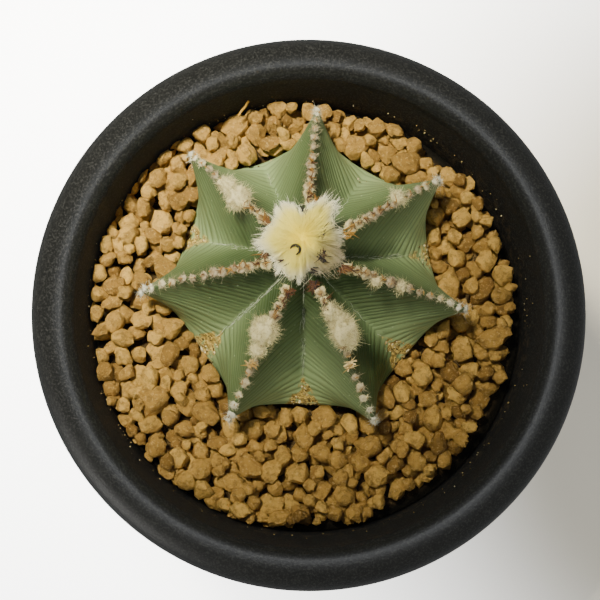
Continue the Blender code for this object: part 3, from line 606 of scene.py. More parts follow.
def skin(ages, rib, step):
    """Points of the skin for each age, and for each rib number and step from -1 to 1 across it.

    The drop from the rib's edge goes with the step, rounded near the edge, and carries the
    point from the edge's radius and height to the valley's. The flank is a little hollow.
    """
    edge, valley = follow(RIB_EDGE, ages)[:, None], follow(VALLEY_LINE, ages)[:, None]
    away = np.abs(step)
    span = math.sqrt(1 + EDGE_ROUNDING**2) - EDGE_ROUNDING
    drop = (np.sqrt(away**2 + EDGE_ROUNDING**2) - EDGE_ROUNDING) / span
    bound = np.where(step < 0, LEFT_VALLEYS[rib], RIGHT_VALLEYS[rib])
    half = np.abs(bound - RIBS[rib])
    out = edge[..., 0] - drop * (edge[..., 0] - valley[..., 0] * np.cos(half))
    across = (away - FLANK_HOLLOW * away * (1 - away)) * valley[..., 0] * np.sin(half)
    height = edge[..., 1] - drop * (edge[..., 1] - valley[..., 1])
    turn = RIBS[rib] + np.sign(bound - RIBS[rib]) * np.arctan2(across, out)
    return round_axis(np.hypot(out, across), turn, height)


def planted(points):
    """Points of the plant's own frame moved to where it stands, leaning, in the pot."""
    return points @ PLANT_TURN.T + PLANT_BASE


print(f"Plant: {len(RIBS)} ribs, {RIB_EDGE[:, 1].max() * 1000:.1f} mm out from its axis, "
      f"{RIB_EDGE[0, 2] * 1000:.1f} mm over the soil")

# %% [markdown]
# Nothing that grew or broke is quite even, so many shapes below are disturbed by smooth noise.
# Perlin noise would do, but a handful of sine waves that cross in random directions is one line
# of numpy, and it gives the same values at the same place in each run.

# %% Smooth noise


def unit(ways):
    """Each direction at length 1."""
    return ways / np.maximum(np.linalg.norm(ways, axis=-1, keepdims=True), 1e-9)


def waves(points, length, seed, count=7):
    """Smooth noise from -1 to 1: the mean of sine waves that cross in random directions."""
    draw = np.random.default_rng(seed)
    ways = unit(draw.normal(size=(count, 3))) * draw.uniform(0.7, 1.5, (count, 1))
    phases = draw.uniform(0, 2 * np.pi, count)
    return np.sin(points @ ways.T * (2 * np.pi / length) + phases).mean(-1) * math.sqrt(2)


# %% [markdown]
# The growth rings are what this kind of cactus is known for: fine, close furrows that run from
# the rib's edge slantwise down to the valley. They could be bump alone, but then the mesh would
# be smooth, so they are real relief: the grid has nine rows to each ring, and each point moves
# along the surface's normal. Ring spacing wavers a little, as growth does with the seasons.

# %% Plant body
RING_COUNT = 29
RING_AGES = (0.09, 1.05)
ROWS_PER_RING = 9
RING_RELIEF = 0.00012
COLUMNS_PER_RIB = 44
CROWDING = 1.35
TIP_AGES = (0.012, 0.03, 0.05, 0.07)
NECK_AGES = (1.08, 1.34)
NECK_ROWS = 7
NECK_POINT = 0.0015


def step_columns():
    """Rib number and step of each column: closer together near the rib's edge."""
    even = np.arange(COLUMNS_PER_RIB) / COLUMNS_PER_RIB * 2 - 1
    steps = np.sign(even) * np.abs(even) ** CROWDING
    return np.repeat(np.arange(len(RIBS)), COLUMNS_PER_RIB), np.tile(steps, len(RIBS))


def outward(grid):
    """Unit normals of a grid that closes round in its columns."""
    down = np.gradient(grid, axis=0)
    wrapped = np.concatenate([grid[:, -1:], grid, grid[:, :1]], axis=1)
    return unit(np.cross(wrapped[:, 2:] - wrapped[:, :-2], down))


def ring_height(ages, step, grid):
    """The rings' height from 0 to 1, and how strong they are at each point.

    Across each ring the height is a half sine wave to the power 0.7, a rounded crest between
    two sharp furrows. The rings come evenly with age, but for a waver of a part of a ring: two
    sines stand for the seasons, and smooth noise for how each place grew. They fade out at the
    rib's edge, at the crown and at the soil.
    """
    share = (ages[:, None] - RING_AGES[0]) / (RING_AGES[1] - RING_AGES[0])
    seasons = 0.22 * np.sin(20 * share + 1) + 0.14 * np.sin(47 * share)
    waver = seasons + 0.28 * waves(grid, 0.010, 3) + 0.12 * waves(grid, 0.0035, 4)
    phase = share * RING_COUNT + waver * np.clip(share * 8, 0, 1)
    crest = np.abs(np.sin(np.pi * phase)) ** 0.7
    away = np.abs(step)
    clear_of_edge = np.clip((away - 0.03) / 0.22, 0, 1)
    patchy = 0.75 + 0.25 * waves(grid, 0.009, 5)
    strength = clear_of_edge * np.clip(share * 6, 0, 1) * np.clip((1.0 - share) * 12, 0, 1) * patchy
    return crest, strength


rib_numbers, steps = step_columns()
ring_ages = np.linspace(*RING_AGES, RING_COUNT * ROWS_PER_RING)
body_ages = np.concatenate([TIP_AGES, ring_ages, np.linspace(*NECK_AGES, NECK_ROWS)])
body_grid = skin(body_ages, rib_numbers, steps)
crests, ring_strength = ring_height(body_ages, steps, body_grid)
relief = RING_RELIEF * ((crests - 0.6) * ring_strength)
ringed = body_grid + relief[..., None] * outward(body_grid)
body_ends = np.array([(0, 0, RIB_EDGE[0, 2]), (0, 0, RIB_EDGE[-1, 2] - NECK_POINT)])
print(f"Body grid {body_grid.shape[0]} by {body_grid.shape[1]}")

# %% [markdown]
# The pale bloom grows with age and towards the valleys. Each flank also has a share of its own,
# which paints in the light and shade on it: thick bloom on lit flanks, nearly none on shaded
# ones. Cork scurfs the oldest skin where it meets the grit in each valley. They could be painted
# by hand. But such places follow the plant's two parameters and not space, so they are worked
# out on the grid, and the mesh carries them as attributes.

# %% Weathering
# Painted light on each rib's two flanks, as its share of the usual pale bloom (below 1: shade)
FLANK_PAINTED_LIGHT = np.array([
    (0.9, 1.4), (1.2, 2.2), (0.95, 1.4), (0.1, 1.1), (1.3, 0.75), (1.0, 0.65), (0.85, 1.25),
])
# How corky the foot of each valley is, by the rib on its right
VALLEY_CORK = np.array([0.1, 0.1, 0.7, 1.0, 1.0, 1.0, 0.8])
CORK_START = 0.80


def bloom_share(ages):
    """Pale bloom from 0 to 1, more with age and by the valleys, with each flank's painted light."""
    life = np.clip(ages, 0, 1)[:, None]
    valley = np.abs(steps)[None]
    own = FLANK_PAINTED_LIGHT[rib_numbers, (steps > 0).astype(int)]
    middle = np.clip(5.2 * valley * (1 - valley), 0, 1)
    share = 0.03 + 0.78 * life**1.5 * (0.55 + 0.45 * valley)
    lowest = np.clip((life - 0.72) / 0.25, 0, 1) * valley**2
    # Each flank's own factor paints the light or shade on it into the bloom
    share = share * (1 + (own - 1) * middle) + 0.35 * lowest * np.minimum(own, 1)
    return np.clip(share + 0.07 * waves(body_grid, 0.011, 6), 0, 1)


def cork_share(ages):
    """Cork in a wedge at each valley's foot: wider and thicker with age."""
    life = np.clip(ages, 0, 1)[:, None]
    wedge = np.clip((np.abs(steps)[None] - 0.97 + 1.4 * (life - CORK_START)) / 0.10, 0, 1)
    share = np.clip((life - CORK_START) / 0.06, 0, 1) * wedge
    own = VALLEY_CORK[(rib_numbers + (steps > 0)) % len(RIBS)]
    return share * own * np.clip(0.8 + 0.5 * waves(body_grid, 0.006, 7), 0, 1)


def per_point(numbers):
    """A value for each point of the grid, and for the two points that close it."""
    return np.concatenate([np.asarray(numbers).ravel(), [0.0, 0.0]])


# How much painted shade each point in a furrow of the rings takes
furrow = (1 - crests) ** 1.5 * ring_strength
bloom, cork = bloom_share(body_ages), cork_share(body_ages)
print(f"Mean bloom {bloom.mean():.2f}, skin with cork {(cork > 0).mean():.0%}")

# %% [markdown]
# The skin itself is a matt grey-green: deep green near the crown, paler with bloom and painted
# light, darkened in the furrows with painted shade, and sprinkled with fine pale flecks. A plain
# mix by the attributes would show the grid's own clean edges, so noise frays each of them.

# %% Plant finish
SKIN_GRAIN = 0.00004


def attribute(tree, name):
    """A number that the mesh carries at each point."""
    return add_node(tree, "ShaderNodeAttribute", {}, attribute_name=name).outputs["Fac"]


def spots(tree, place, scale):
    """Distance to the nearest of scattered points, 0 at a point and about 1 far from it."""
    inputs = {"Vector": place, "Scale": scale}
    return add_node(tree, "ShaderNodeTexVoronoi", inputs).outputs["Distance"]


def skin_finish():
    """Matt grey-green, paler with age, painted shade in the furrows, corky at the valleys' feet."""
    material, tree, shader, place = start_finish("green_skin", 0.55, Specular_IOR_Level=0.3)
    mottle = noise(tree, place, 260.0, 4.0)
    # Pale with bloom and with the painted light on lit flanks, dark with painted shade on others
    base = mix(tree, attribute(tree, "bloom"), colour(42, 58, 25), colour(140, 158, 106))
    base = wash(tree, base, mottle, (0.35, 0.75), 0.15, (104, 130, 80))
    # Painted shade in the growth rings' furrows
    base = mix(tree, multiply(tree, attribute(tree, "furrow"), 0.85), base, colour(40, 54, 20))
    fleck = blend_range(tree, spots(tree, place, 620.0), 0.10, 0.04)
    base = mix(tree, multiply(tree, fleck, 0.35), base, colour(196, 204, 168))
    crumbly = noise(tree, place, 2600.0, 4.0, 0.7)
    cork_edge = blend_range(tree, noise(tree, place, 800.0, 3.0), 0.36, 0.56)
    corky = blend_range(tree, multiply(tree, attribute(tree, "cork"), cork_edge), 0.10, 0.45)
    cork_tone = wash(tree, colour(104, 84, 36), crumbly, (0.4, 0.62), 1.0, (192, 166, 88))
    base = mix(tree, corky, base, cork_tone)
    tree.links.new(base, shader.inputs["Base Color"])
    bump(tree, shader, noise(tree, place, 2600.0, 3.0), SKIN_GRAIN, 0.5)
    return material


# %% [markdown]
# The ringed grid gets the two points that close it, is moved to where the plant stands, and
# takes its three attributes along. The object itself isn't moved or turned, because the noise
# reads Object coordinates and the places belong in the mesh.

# %% Make the plant
green_skin = skin_finish()
body_skin = closed_grid(ringed, *body_ends)
body = make_piece(
    "cactus_skin", planted(body_skin[0]), body_skin[1], green_skin, "green_skin",
    bloom=per_point(bloom), furrow=per_point(furrow), cork=per_point(cork),
)
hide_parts("cactus_body")

# %% [markdown]
# Wool, spines and stray fibres are all the same kind of thing: a thin tube along a path that
# tapers to a point. Blender's own hair would look as good, but it isn't a mesh. So one function
# makes any number of tubes at once, three corners round for a hair and five for a spine.

# %% Tubes
HAIR_SIDES = 3


def tubes(paths, radii, sides, facing=None):
    """Closed tubes along paths, as points and faces.

    Paths are arrays of points, one row of joints for each tube, and each joint has a radius.
    The tube's skin is the joint plus radius times (side cos a + other sin a), with side and
    other square to the path and to each other. The side is also square to the facing, which is
    up unless the path is steep.
    """
    count, joints = paths.shape[:2]
    along = unit(np.gradient(paths, axis=1))
    if facing is None:
        steep = np.abs(along[..., 2:]) > 0.8
        facing = np.where(steep, (1.0, 0.0, 0.0), UP)
        facing = np.broadcast_to(facing[:, :1], along.shape)
    side = unit(np.cross(along, facing))
    other = np.cross(along, side)
    angle = np.arange(sides) * 2 * np.pi / sides
    ring = side[:, :, None] * np.cos(angle)[:, None] + other[:, :, None] * np.sin(angle)[:, None]
    points = paths[:, :, None] + radii[:, :, None, None] * ring
    starts = np.arange(count)[:, None, None] * joints * sides
    wall = grid_faces(joints, sides)[:, ::-1] + starts
    ends = np.stack([np.arange(sides), (joints - 1) * sides + np.arange(sides)[::-1]]) + starts
    return points.reshape(-1, 3), [wall.reshape(-1, 4), ends.reshape(-1, sides)]


def taper(radius, narrowing, power, joints):
    """The radius at each joint: the first one times 1 - narrowing t^power, for t from 0 to 1."""
    return radius * (1 - narrowing * np.linspace(0, 1, joints) ** power)


def strands(roots, leaving, curving, radii, sides):
    """Tubes whose joints lie at root + leaving t + curving t^2, with a radius for each joint."""
    t = np.linspace(0, 1, len(radii))[None, :, None]
    paths = roots[:, None] + leaving[:, None] * t + curving[:, None] * t**2
    return tubes(paths, np.broadcast_to(radii, paths.shape[:2]), sides)


def hair_values(numbers, joints):
    """One number for each hair, repeated for each of its points."""
    return np.repeat(numbers, joints * HAIR_SIDES)


def along_hair(count, joints):
    """How far along its hair each point is, from 0 at the root to 1 at the tip."""
    return np.tile(np.repeat(np.linspace(0, 1, joints), HAIR_SIDES), count)


# %% [markdown]
# A cushion of felt lies under the hairs of each tuft, and the grit is made of stones. Both
# start from the same lattice: the points of a cube's faces, pushed out to a sphere. Unlike a
# globe's grid it has no crowded poles, so a few dozen faces are enough for a grain.

# %% Ball lattice


def ball_lattice(cells):
    """Directions and quads of a cube whose faces have cells by cells squares, made round.

    A square's corner (u, v) goes to (tan u, tan v, 1) / length, which keeps the squares even.
    """
    cell = np.arange(cells)
    u, v = np.meshgrid(cell, cell, indexing="ij")
    u, v = u.ravel(), v.ravel()
    quad = np.stack([(u, v), (u + 1, v), (u + 1, v + 1), (u, v + 1)]).transpose(2, 0, 1)
    faces = []
    for axis in range(3):
        for level in (0, cells):
            corners = np.insert(quad, axis, level, axis=2)
            faces.append(corners if (level == 0) == (axis == 1) else corners[:, ::-1])
    corners = np.concatenate(faces)
    lattice, index = np.unique(corners.reshape(-1, 3), axis=0, return_inverse=True)
    ways = unit(np.tan((lattice / cells - 0.5) * np.pi / 2))
    return ways, index.reshape(-1, 4)


def balls(shapes, faces):
    """Points and faces of many balls, given each one's points."""
    starts = np.arange(len(shapes))[:, None, None] * shapes.shape[1]
    return shapes.reshape(-1, 3), [(faces + starts).reshape(-1, 4)]


CRUMB_LATTICE = ball_lattice(2)
GRAIN_LATTICE = ball_lattice(3)
AREOLE_LATTICE = ball_lattice(4)
PAD_LATTICE = ball_lattice(6)
print(f"A grain has {len(GRAIN_LATTICE[1])} faces and a crumb {len(CRUMB_LATTICE[1])}")

# %% [markdown]
# Each rib carries a row of areoles, the woolly cushions that spines grow from. They touch near
# the crown, a millimetre apart, and are two millimetres apart at the tip. So their places come
# from the length of the rib's edge: growing steps of length, turned back into ages. At each one
# the edge gives three directions: along it, across it and straight out.

# %% Areole places
AREOLE_SPACING = 0.00112
SPACING_GROWTH = 0.034
MOST_AREOLES = 40
# How far out each rib's row comes from under the crown wool
CHAIN_START_RADII = (0.0078, 0.0075, 0.0060, 0.0050, 0.0048, 0.0050, 0.0076)
CHAIN_END_AGE = 0.90
TIP_AGE = 0.77
AGE_STEP = 0.004


def edge_frame(rib, ages):
    """Points on a rib's edge, and the unit directions along, across and out of it there."""
    azimuth = RIBS[rib]
    ahead = np.array([np.cos(azimuth), np.sin(azimuth), 0.0])
    track = follow(RIB_EDGE, ages)
    slope = follow(RIB_EDGE, np.asarray(ages) + AGE_STEP) - track
    points = track[:, :1] * ahead + track[:, 1:] * UP
    along = unit(slope[:, :1] * ahead + slope[:, 1:] * UP)
    across = np.broadcast_to(np.cross(UP, ahead), along.shape)
    return points, along, across, np.cross(along, across)


def age_at_radius(radius):
    """The age at which a rib's edge is this far out, before it turns down at the tip."""
    early = np.linspace(0, TIP_AGE, 300)
    return np.interp(radius, follow(RIB_EDGE, early)[:, 0], early)


def areole_ages(rib):
    """Ages a tuft's spacing apart along a rib's edge, from the crown wool to below the tip."""
    ages = np.linspace(age_at_radius(CHAIN_START_RADII[rib]), CHAIN_END_AGE, 400)
    steps_down = np.hypot(*np.diff(follow(RIB_EDGE, ages), axis=0).T)
    lengths = np.concatenate([[0.0], np.cumsum(steps_down)])
    number = np.arange(MOST_AREOLES)
    reached = AREOLE_SPACING * number * (1 + SPACING_GROWTH * number)
    return np.interp(reached[reached < lengths[-1]], lengths, ages)


print("Areoles on each rib:", [len(areole_ages(rib)) for rib in range(len(RIBS))])

# %% [markdown]
# An areole is a low felt cushion with a fringe of very short hairs, like a rosette. The young
# ones by the crown are cream with a rusty heart where the spines stood. Halfway down they are
# soiled to a brownish grey, and the last ones at the rib's tip are small and bleached white.
# Hairs alone would show the skin between them, and a ball alone would look like felt, so each
# tuft has both.

# %% Tufts
LUMPINESS = 0.34
HAIR_JOINTS = 3
HAIR_RADII = taper(0.000026, 0.85, 1.5, HAIR_JOINTS)
ROOT_DEPTH = 0.9
HAIR_STRAY = 0.6
HAIR_LENGTHS = (0.4, 1.4)
HAIR_CURL = 0.45
HAIR_SAG = 0.25
FELT_TONE = 0.3


def tuft(centres, frames, radii, counts, fringe, rust, share, lattice, draw):
    """Felt cushions with a fringe of hairs, and the values that their finish reads.

    A cushion is a ball squashed to its three radii along its frame's directions. A hair starts
    just inside the skin of the upper half, leaves it squarely and then sinks and strays.
    """
    ways, faces = lattice
    lumps = 1 + LUMPINESS * waves(ways[None] + 9 * draw.random((len(centres), 1, 3)), 0.9, 5)
    local = ways * radii[:, None] * lumps[..., None]
    cushions = balls(centres[:, None] + np.einsum("nvk,nkj->nvj", local, frames), faces)
    owner = np.repeat(np.arange(len(centres)), counts)
    start = unit(draw.normal(size=(len(owner), 3)))
    start[:, 2] = np.abs(start[:, 2]) - 0.15
    inside = ROOT_DEPTH * start * radii[owner]
    roots = centres[owner] + np.einsum("nk,nkj->nj", inside, frames[owner])
    square = unit(start / radii[owner]) + draw.normal(0, HAIR_STRAY, start.shape)
    leaving = np.einsum("nk,nkj->nj", unit(square), frames[owner])
    length = (fringe[owner] * draw.uniform(*HAIR_LENGTHS, len(owner)))[:, None]
    curving = draw.normal(0, HAIR_CURL, start.shape) - HAIR_SAG * frames[owner, 2]
    hairs = strands(roots, leaving * length, curving * length, HAIR_RADII, HAIR_SIDES)
    return joined([cushions, hairs]), tuft_values(ways, start, owner, rust, share, draw)


def tuft_values(ways, starts, owner, rust, share, draw):
    """What the wool's finish reads: rust, the share of the way to the rib's tip, how far along
    its hair a point is, and each hair's tone.

    The rust is in the middle of a tuft: it grows from nothing halfway up to its full share on
    top.
    """
    middle = np.clip((ways[:, 2] - 0.6) / 0.35, 0, 1)
    felt = len(rust) * len(ways)
    heart = rust[owner] * np.clip((starts[:, 2] - 0.72) / 0.2, 0, 1)
    tone = draw.random(len(owner))
    return {
        "rust": np.concatenate([np.outer(rust, middle).ravel(), hair_values(heart, HAIR_JOINTS)]),
        "age": np.concatenate([np.repeat(share, len(ways)), hair_values(share[owner], HAIR_JOINTS)]),
        "tip": np.concatenate([np.zeros(felt), along_hair(len(owner), HAIR_JOINTS)]),
        "tone": np.concatenate([np.full(felt, FELT_TONE), hair_values(tone, HAIR_JOINTS)]),
    }


# %% [markdown]
# Some areoles have flowered, and there the wool is a thick matted pad several areoles long. A
# rule can place a row of areoles but not the flowers, so the pads are a short list. A pad is the
# same tuft as an areole, only larger and with many more hairs.

# %% Rows and pads
AREOLE_RADII = np.array([0.00066, 0.00060, 0.00046])
AREOLE_HAIRS = 60
AREOLE_FRINGE = 0.00048
AREOLE_LIFT = 0.00012
AREOLE_SCATTER = 0.00010
PAD_FRINGE = 0.00070
PAD_HEIGHT = 0.0013
PAD_CORE = 0.86
PAD_LIFT = 0.25
FULL_PAD = 0.0016
# Each pad: rib, distance out, distance across (m), half length, half width, hairs
WOOL_PADS = (
    (6, 0.0122, 0.0002, 0.0019, 0.0017, 1200), (6, 0.0147, -0.0001, 0.0018, 0.0011, 620),
    (1, 0.0153, 0.0004, 0.0011, 0.0010, 420),
    (4, 0.0105, -0.0005, 0.0023, 0.0019, 1500), (4, 0.0131, -0.0002, 0.0010, 0.0010, 360),
    (3, 0.0078, 0.0004, 0.0015, 0.0011, 520), (3, 0.0105, 0.0009, 0.0032, 0.0018, 1900),
    (2, 0.0098, -0.0004, 0.0009, 0.0008, 180), (2, 0.0131, -0.0001, 0.0009, 0.0008, 180),
)


def rib_areoles(rib, draw):
    """The rib's row of areoles, smaller and with less rust towards its tip, with their values."""
    ages = areole_ages(rib)
    points, along, across, normal = edge_frame(rib, ages)
    share = np.linspace(0, 1, len(ages))
    size = (1.10 - 0.48 * share)[:, None] * draw.uniform(0.74, 1.22, (len(ages), 1))
    size = size * draw.uniform(0.85, 1.15, (len(ages), 3))
    centres = points + AREOLE_LIFT * normal + draw.normal(0, AREOLE_SCATTER, points.shape)
    frames = np.stack([along, across, normal], axis=1)
    fringe = AREOLE_FRINGE * (1.0 + 0.2 * share)
    rust = np.clip(1.1 - 1.1 * share, 0.15, 1)
    counts = np.full(len(ages), AREOLE_HAIRS)
    radii = AREOLE_RADII * size
    return tuft(centres, frames, radii, counts, fringe, rust, share, AREOLE_LATTICE, draw)


def rib_pads(pads, draw):
    """A rib's flowered pads: larger cushions, the slim ones lower, with many hairs and no rust."""
    rib = int(pads[0, 0])
    points, along, across, normal = edge_frame(rib, age_at_radius(pads[:, 1]))
    frames = np.stack([along, across, normal], axis=1)
    radii = np.stack([pads[:, 3], pads[:, 4], np.full(len(pads), PAD_HEIGHT)], -1) * PAD_CORE
    radii[:, 2] *= np.minimum(1, pads[:, 4] / FULL_PAD)
    centres = points + pads[:, 2:3] * across + PAD_LIFT * radii[:, 2:] * normal
    fringe = np.full(len(pads), PAD_FRINGE)
    counts = pads[:, 5].astype(int)
    clean = np.zeros(len(pads))
    return tuft(centres, frames, radii, counts, fringe, clean, clean, PAD_LATTICE, draw)


def rib_chain(rib):
    """All of one rib's wool in the pot's frame, with its values."""
    draw = np.random.default_rng(40 + rib)
    parts = [rib_areoles(rib, draw)]
    pads = np.array([pad for pad in WOOL_PADS if pad[0] == rib])
    if len(pads):
        parts.append(rib_pads(pads, draw))
    points, faces = joined([part for part, _ in parts])
    values = {key: np.concatenate([values[key] for _, values in parts]) for key in parts[0][1]}
    return planted(points), faces, values


# %% [markdown]
# The wool has no one colour. Each hair has a tone of its own between cream and straw, and the
# felt and the hairs' roots are darkened with painted shade, where the hairs shade each other.
# Over that lie the washes of time, by how far down the rib an areole is: soiled in the middle,
# bleached at the tip, rust in a young one's heart, and specks of soil on all of them. An image
# could hold this, but the mesh knows its own ages.

# %% Wool finish
FELT_GRAIN = 0.00012


def wool_finish():
    """Matted wool: cream, brownish grey or white with age, with rust where spines stood."""
    material, tree, shader, place = start_finish("grey_wool", 0.9, Specular_IOR_Level=0.15)
    cream = mix(tree, attribute(tree, "tone"), colour(238, 229, 174), colour(204, 190, 132))
    # Painted shade on the felt and towards each hair's root
    base = wash(tree, cream, attribute(tree, "tip"), (0.75, 0.0), 0.6, (168, 156, 112))
    age = attribute(tree, "age")
    old = blend_range(tree, age, 0.80, 0.60, 0.0, 0.80)
    soiled = multiply(tree, blend_range(tree, age, 0.0, 0.28), old)
    base = mix(tree, soiled, base, colour(148, 136, 112))
    base = wash(tree, base, age, (0.65, 0.90), 0.6, (206, 206, 194))
    base = mix(tree, multiply(tree, attribute(tree, "rust"), 0.85), base, colour(112, 80, 28))
    soil = noise(tree, place, 1700.0, 4.0, 0.7)
    base = wash(tree, base, soil, (0.50, 0.66), 0.55, (120, 104, 68))
    tree.links.new(base, shader.inputs["Base Color"])
    bump(tree, shader, noise(tree, place, 3600.0, 3.0), FELT_GRAIN, 0.8)
    return material


# %% [markdown]
# All the wool of one rib is one piece. It could be one piece for the whole plant, but the packed
# model has a solid for each rib's wool, and each piece stands for its own.

# %% Make the rib wool
grey_wool = wool_finish()
for rib in range(len(RIBS)):
    wool, faces, values = rib_chain(rib)
    chain = make_piece(f"areole_wool_{rib + 1}", wool, faces, grey_wool, "grey_wool", **values)
    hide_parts(f"rib_wool_{rib + 1}")

# %% [markdown]
# The growing point hides under a thick rosette of silky cream wool, with a ragged outline like a
# star. A plain ball would lose that. So the outline comes first, as a distance for each
# direction, and a low dome of felt fills it, a little smaller than the hairs will reach.

# %% Crown cushion
CROWN_CENTRE = np.array([-0.00030, 0.00230, 0.0206])
CROWN_HEIGHT = 0.0030
CROWN_DEPTH = 0.0020
CUSHION_SINK = 0.00025
CUSHION_LUMPS = 0.00025
CUSHION_SHARE = 0.84
CUSHION_SIDES = 60
CUSHION_ROWS = 12
CUSHION_TONE = 0.9
# The tuft's outline: direction (degrees from +X) and distance (mm)
CROWN_OUTLINE = np.array([
    (0, 5.3), (20, 5.0), (35, 5.4), (50, 6.9), (62, 6.7), (76, 4.9), (90, 3.9), (103, 5.1), (118, 5.8),
    (135, 5.2), (150, 5.0), (165, 5.4), (182, 6.0), (200, 5.2), (218, 4.6), (235, 5.1), (252, 5.9),
    (268, 5.4), (282, 4.4), (296, 4.6), (312, 6.0), (326, 6.2), (342, 5.4),
])


def crown_reach(turn):
    """How far the tuft reaches in each direction, in metres."""
    turns, distances = CROWN_OUTLINE.T
    return np.interp(np.degrees(turn) % 360, turns, distances, period=360) / 1000


def on_dome(share, turn, lift):
    """Points on the tuft: a share of the reach out, and up by height times sqrt(1 - share^2)."""
    height = CROWN_HEIGHT * np.sqrt(np.clip(1 - share**2, 0, 1)) + lift
    return CROWN_CENTRE + round_axis(share * crown_reach(turn), turn, height)


def crown_cushion():
    """The felt under the hairs: a dome over the same outline, drawn in a little, and a base."""
    around = np.arange(CUSHION_SIDES) * 2 * np.pi / CUSHION_SIDES
    share = np.sin(np.linspace(0.1, np.pi / 2, CUSHION_ROWS))[:, None] + 0 * around
    top = on_dome(share, around, -CUSHION_SINK)
    base = on_dome(share[::-2], around, 0.0)
    base[..., 2] = CROWN_CENTRE[2] - CROWN_DEPTH * np.sqrt(1 - 0.98 * share[::-2] ** 2)
    grid = np.concatenate([top, base])
    grid[..., :2] = CROWN_CENTRE[:2] + CUSHION_SHARE * (grid[..., :2] - CROWN_CENTRE[:2])
    grid[..., 2] += CUSHION_LUMPS * waves(grid, 0.0026, 12)
    ends = CROWN_CENTRE + np.array([(0, 0, CROWN_HEIGHT - CUSHION_SINK), (0, 0, -CROWN_DEPTH)])
    return closed_grid(grid, *ends)


cushion = crown_cushion()
print(f"Crown wool reaches {CROWN_OUTLINE[:, 1].min()} to {CROWN_OUTLINE[:, 1].max()} mm out")

# %% [markdown]
# The hairs lie nearly flat, all point outwards and cling together in locks, with notches between
# them. Combing a hair system would give locks too. Here each hair gets a root on the dome and a
# tip further out, and the tip's direction is drawn towards the nearest of 34 locks.

# %% Crown hairs
CROWN_HAIRS = 5600
CROWN_JOINTS = 4
CROWN_RADII = taper(0.000036, 0.85, 1.5, CROWN_JOINTS)
CROWN_LOCKS = 34
LOCK_PULL = 0.62
LOCK_LENGTHS = (0.86, 1.12)
LOCK_LIFTS = (-0.0003, 0.0006)
STRAY_SHARE = 0.035
STRAY_REACH = (0.95, 1.25)
ROOT_SINK = 0.0003
FLYAWAY = 0.00035
FLYAWAY_LIMIT = 0.0012
ARCH_HEIGHTS = (0.00015, 0.0006)


def lock_places(turn, draw):
    """The way from each hair to the middle of its lock, and the lock's length and lift."""
    count = len(turn)
    middles = np.arange(CROWN_LOCKS) + draw.uniform(-0.35, 0.35, CROWN_LOCKS)
    away = (middles * 2 * np.pi / CROWN_LOCKS - turn[:, None] + np.pi) % (2 * np.pi) - np.pi
    nearest = np.argmin(np.abs(away), axis=1)
    length = draw.uniform(*LOCK_LENGTHS, CROWN_LOCKS)[nearest]
    lift = draw.uniform(*LOCK_LIFTS, CROWN_LOCKS)[nearest]
    return away[np.arange(count), nearest], length, lift


def crown_hairs(draw):
    """Hairs that point outwards over the dome, each drawn towards the middle of its lock.

    A hair's root is a share of the reach out and its tip a greater share. Near the middle the
    tips turn any way, further out only a little, and a few strays go past the outline.
    """
    count = CROWN_HAIRS
    turn = draw.uniform(0, 2 * np.pi, count)
    share = 0.92 * draw.random(count) ** 0.62
    toward_lock, lock_length, lock_lift = lock_places(turn, draw)
    tip_share = share + draw.uniform(0.22, 0.42, count)
    tip_share = np.minimum(tip_share, draw.uniform(0.9, 1.06, count))
    tip_share = np.maximum(tip_share, share + 0.08) * (1 + (lock_length - 1) * share)
    stray = draw.random(count) < STRAY_SHARE
    tip_share = np.where(stray, draw.uniform(*STRAY_REACH, count), tip_share)
    roots = on_dome(share, turn, -ROOT_SINK)
    tip_turn = turn + np.where(stray, draw.normal(0, 0.25, count), LOCK_PULL * toward_lock)
    tip_turn += draw.normal(0, 1, count) * (0.06 + 2.6 * np.clip(0.36 - share, 0, 1))
    tip_lift = lock_lift + draw.exponential(FLYAWAY, count).clip(0, FLYAWAY_LIMIT)
    tips = on_dome(tip_share, tip_turn, tip_lift)
    arch = draw.uniform(*ARCH_HEIGHTS, (count, 1)) * UP
    return strands(roots, tips - roots + arch, -arch, CROWN_RADII, HAIR_SIDES)


def crown_values(points, draw, felt):
    """How far out each point is, how much soiled grey and painted shade the wool takes on the
    lower right flank, each hair's tone, and how far along its hair a point is.
    """
    away = points[:, :2] - CROWN_CENTRE[:2]
    turn = np.arctan2(away[:, 1], away[:, 0])
    out = np.hypot(*away.T) / crown_reach(turn)
    out = np.where(points[:, 2] < CROWN_CENTRE[2], 1.0, out)
    # Soil and painted shade on the lower right flank, away from the light
    soil_and_shade = np.clip(1.2 * np.cos(turn + 0.60) ** 3, 0, 1) * np.clip((out - 0.25) / 0.3, 0, 1)
    tone = hair_values(draw.random(CROWN_HAIRS), CROWN_JOINTS)
    tone = np.concatenate([np.full(felt, CUSHION_TONE), tone])
    tip = np.concatenate([np.zeros(felt), along_hair(CROWN_HAIRS, CROWN_JOINTS)])
    return {"out": out, "soil_and_shade": soil_and_shade, "tone": tone, "tip": tip}


# %% [markdown]
# New wool is bright yellow where the growing point feeds it, cream further out and whitish at
# the edge, where it is oldest. One flank, at the lower right, is soiled grey and darkened with
# painted shade, and a little painted shade lies at the hairs' roots. The colours could go by
# height, but the tuft isn't round, so they go by how far out a point is next to the outline on
# its side.

# %% Crown finish


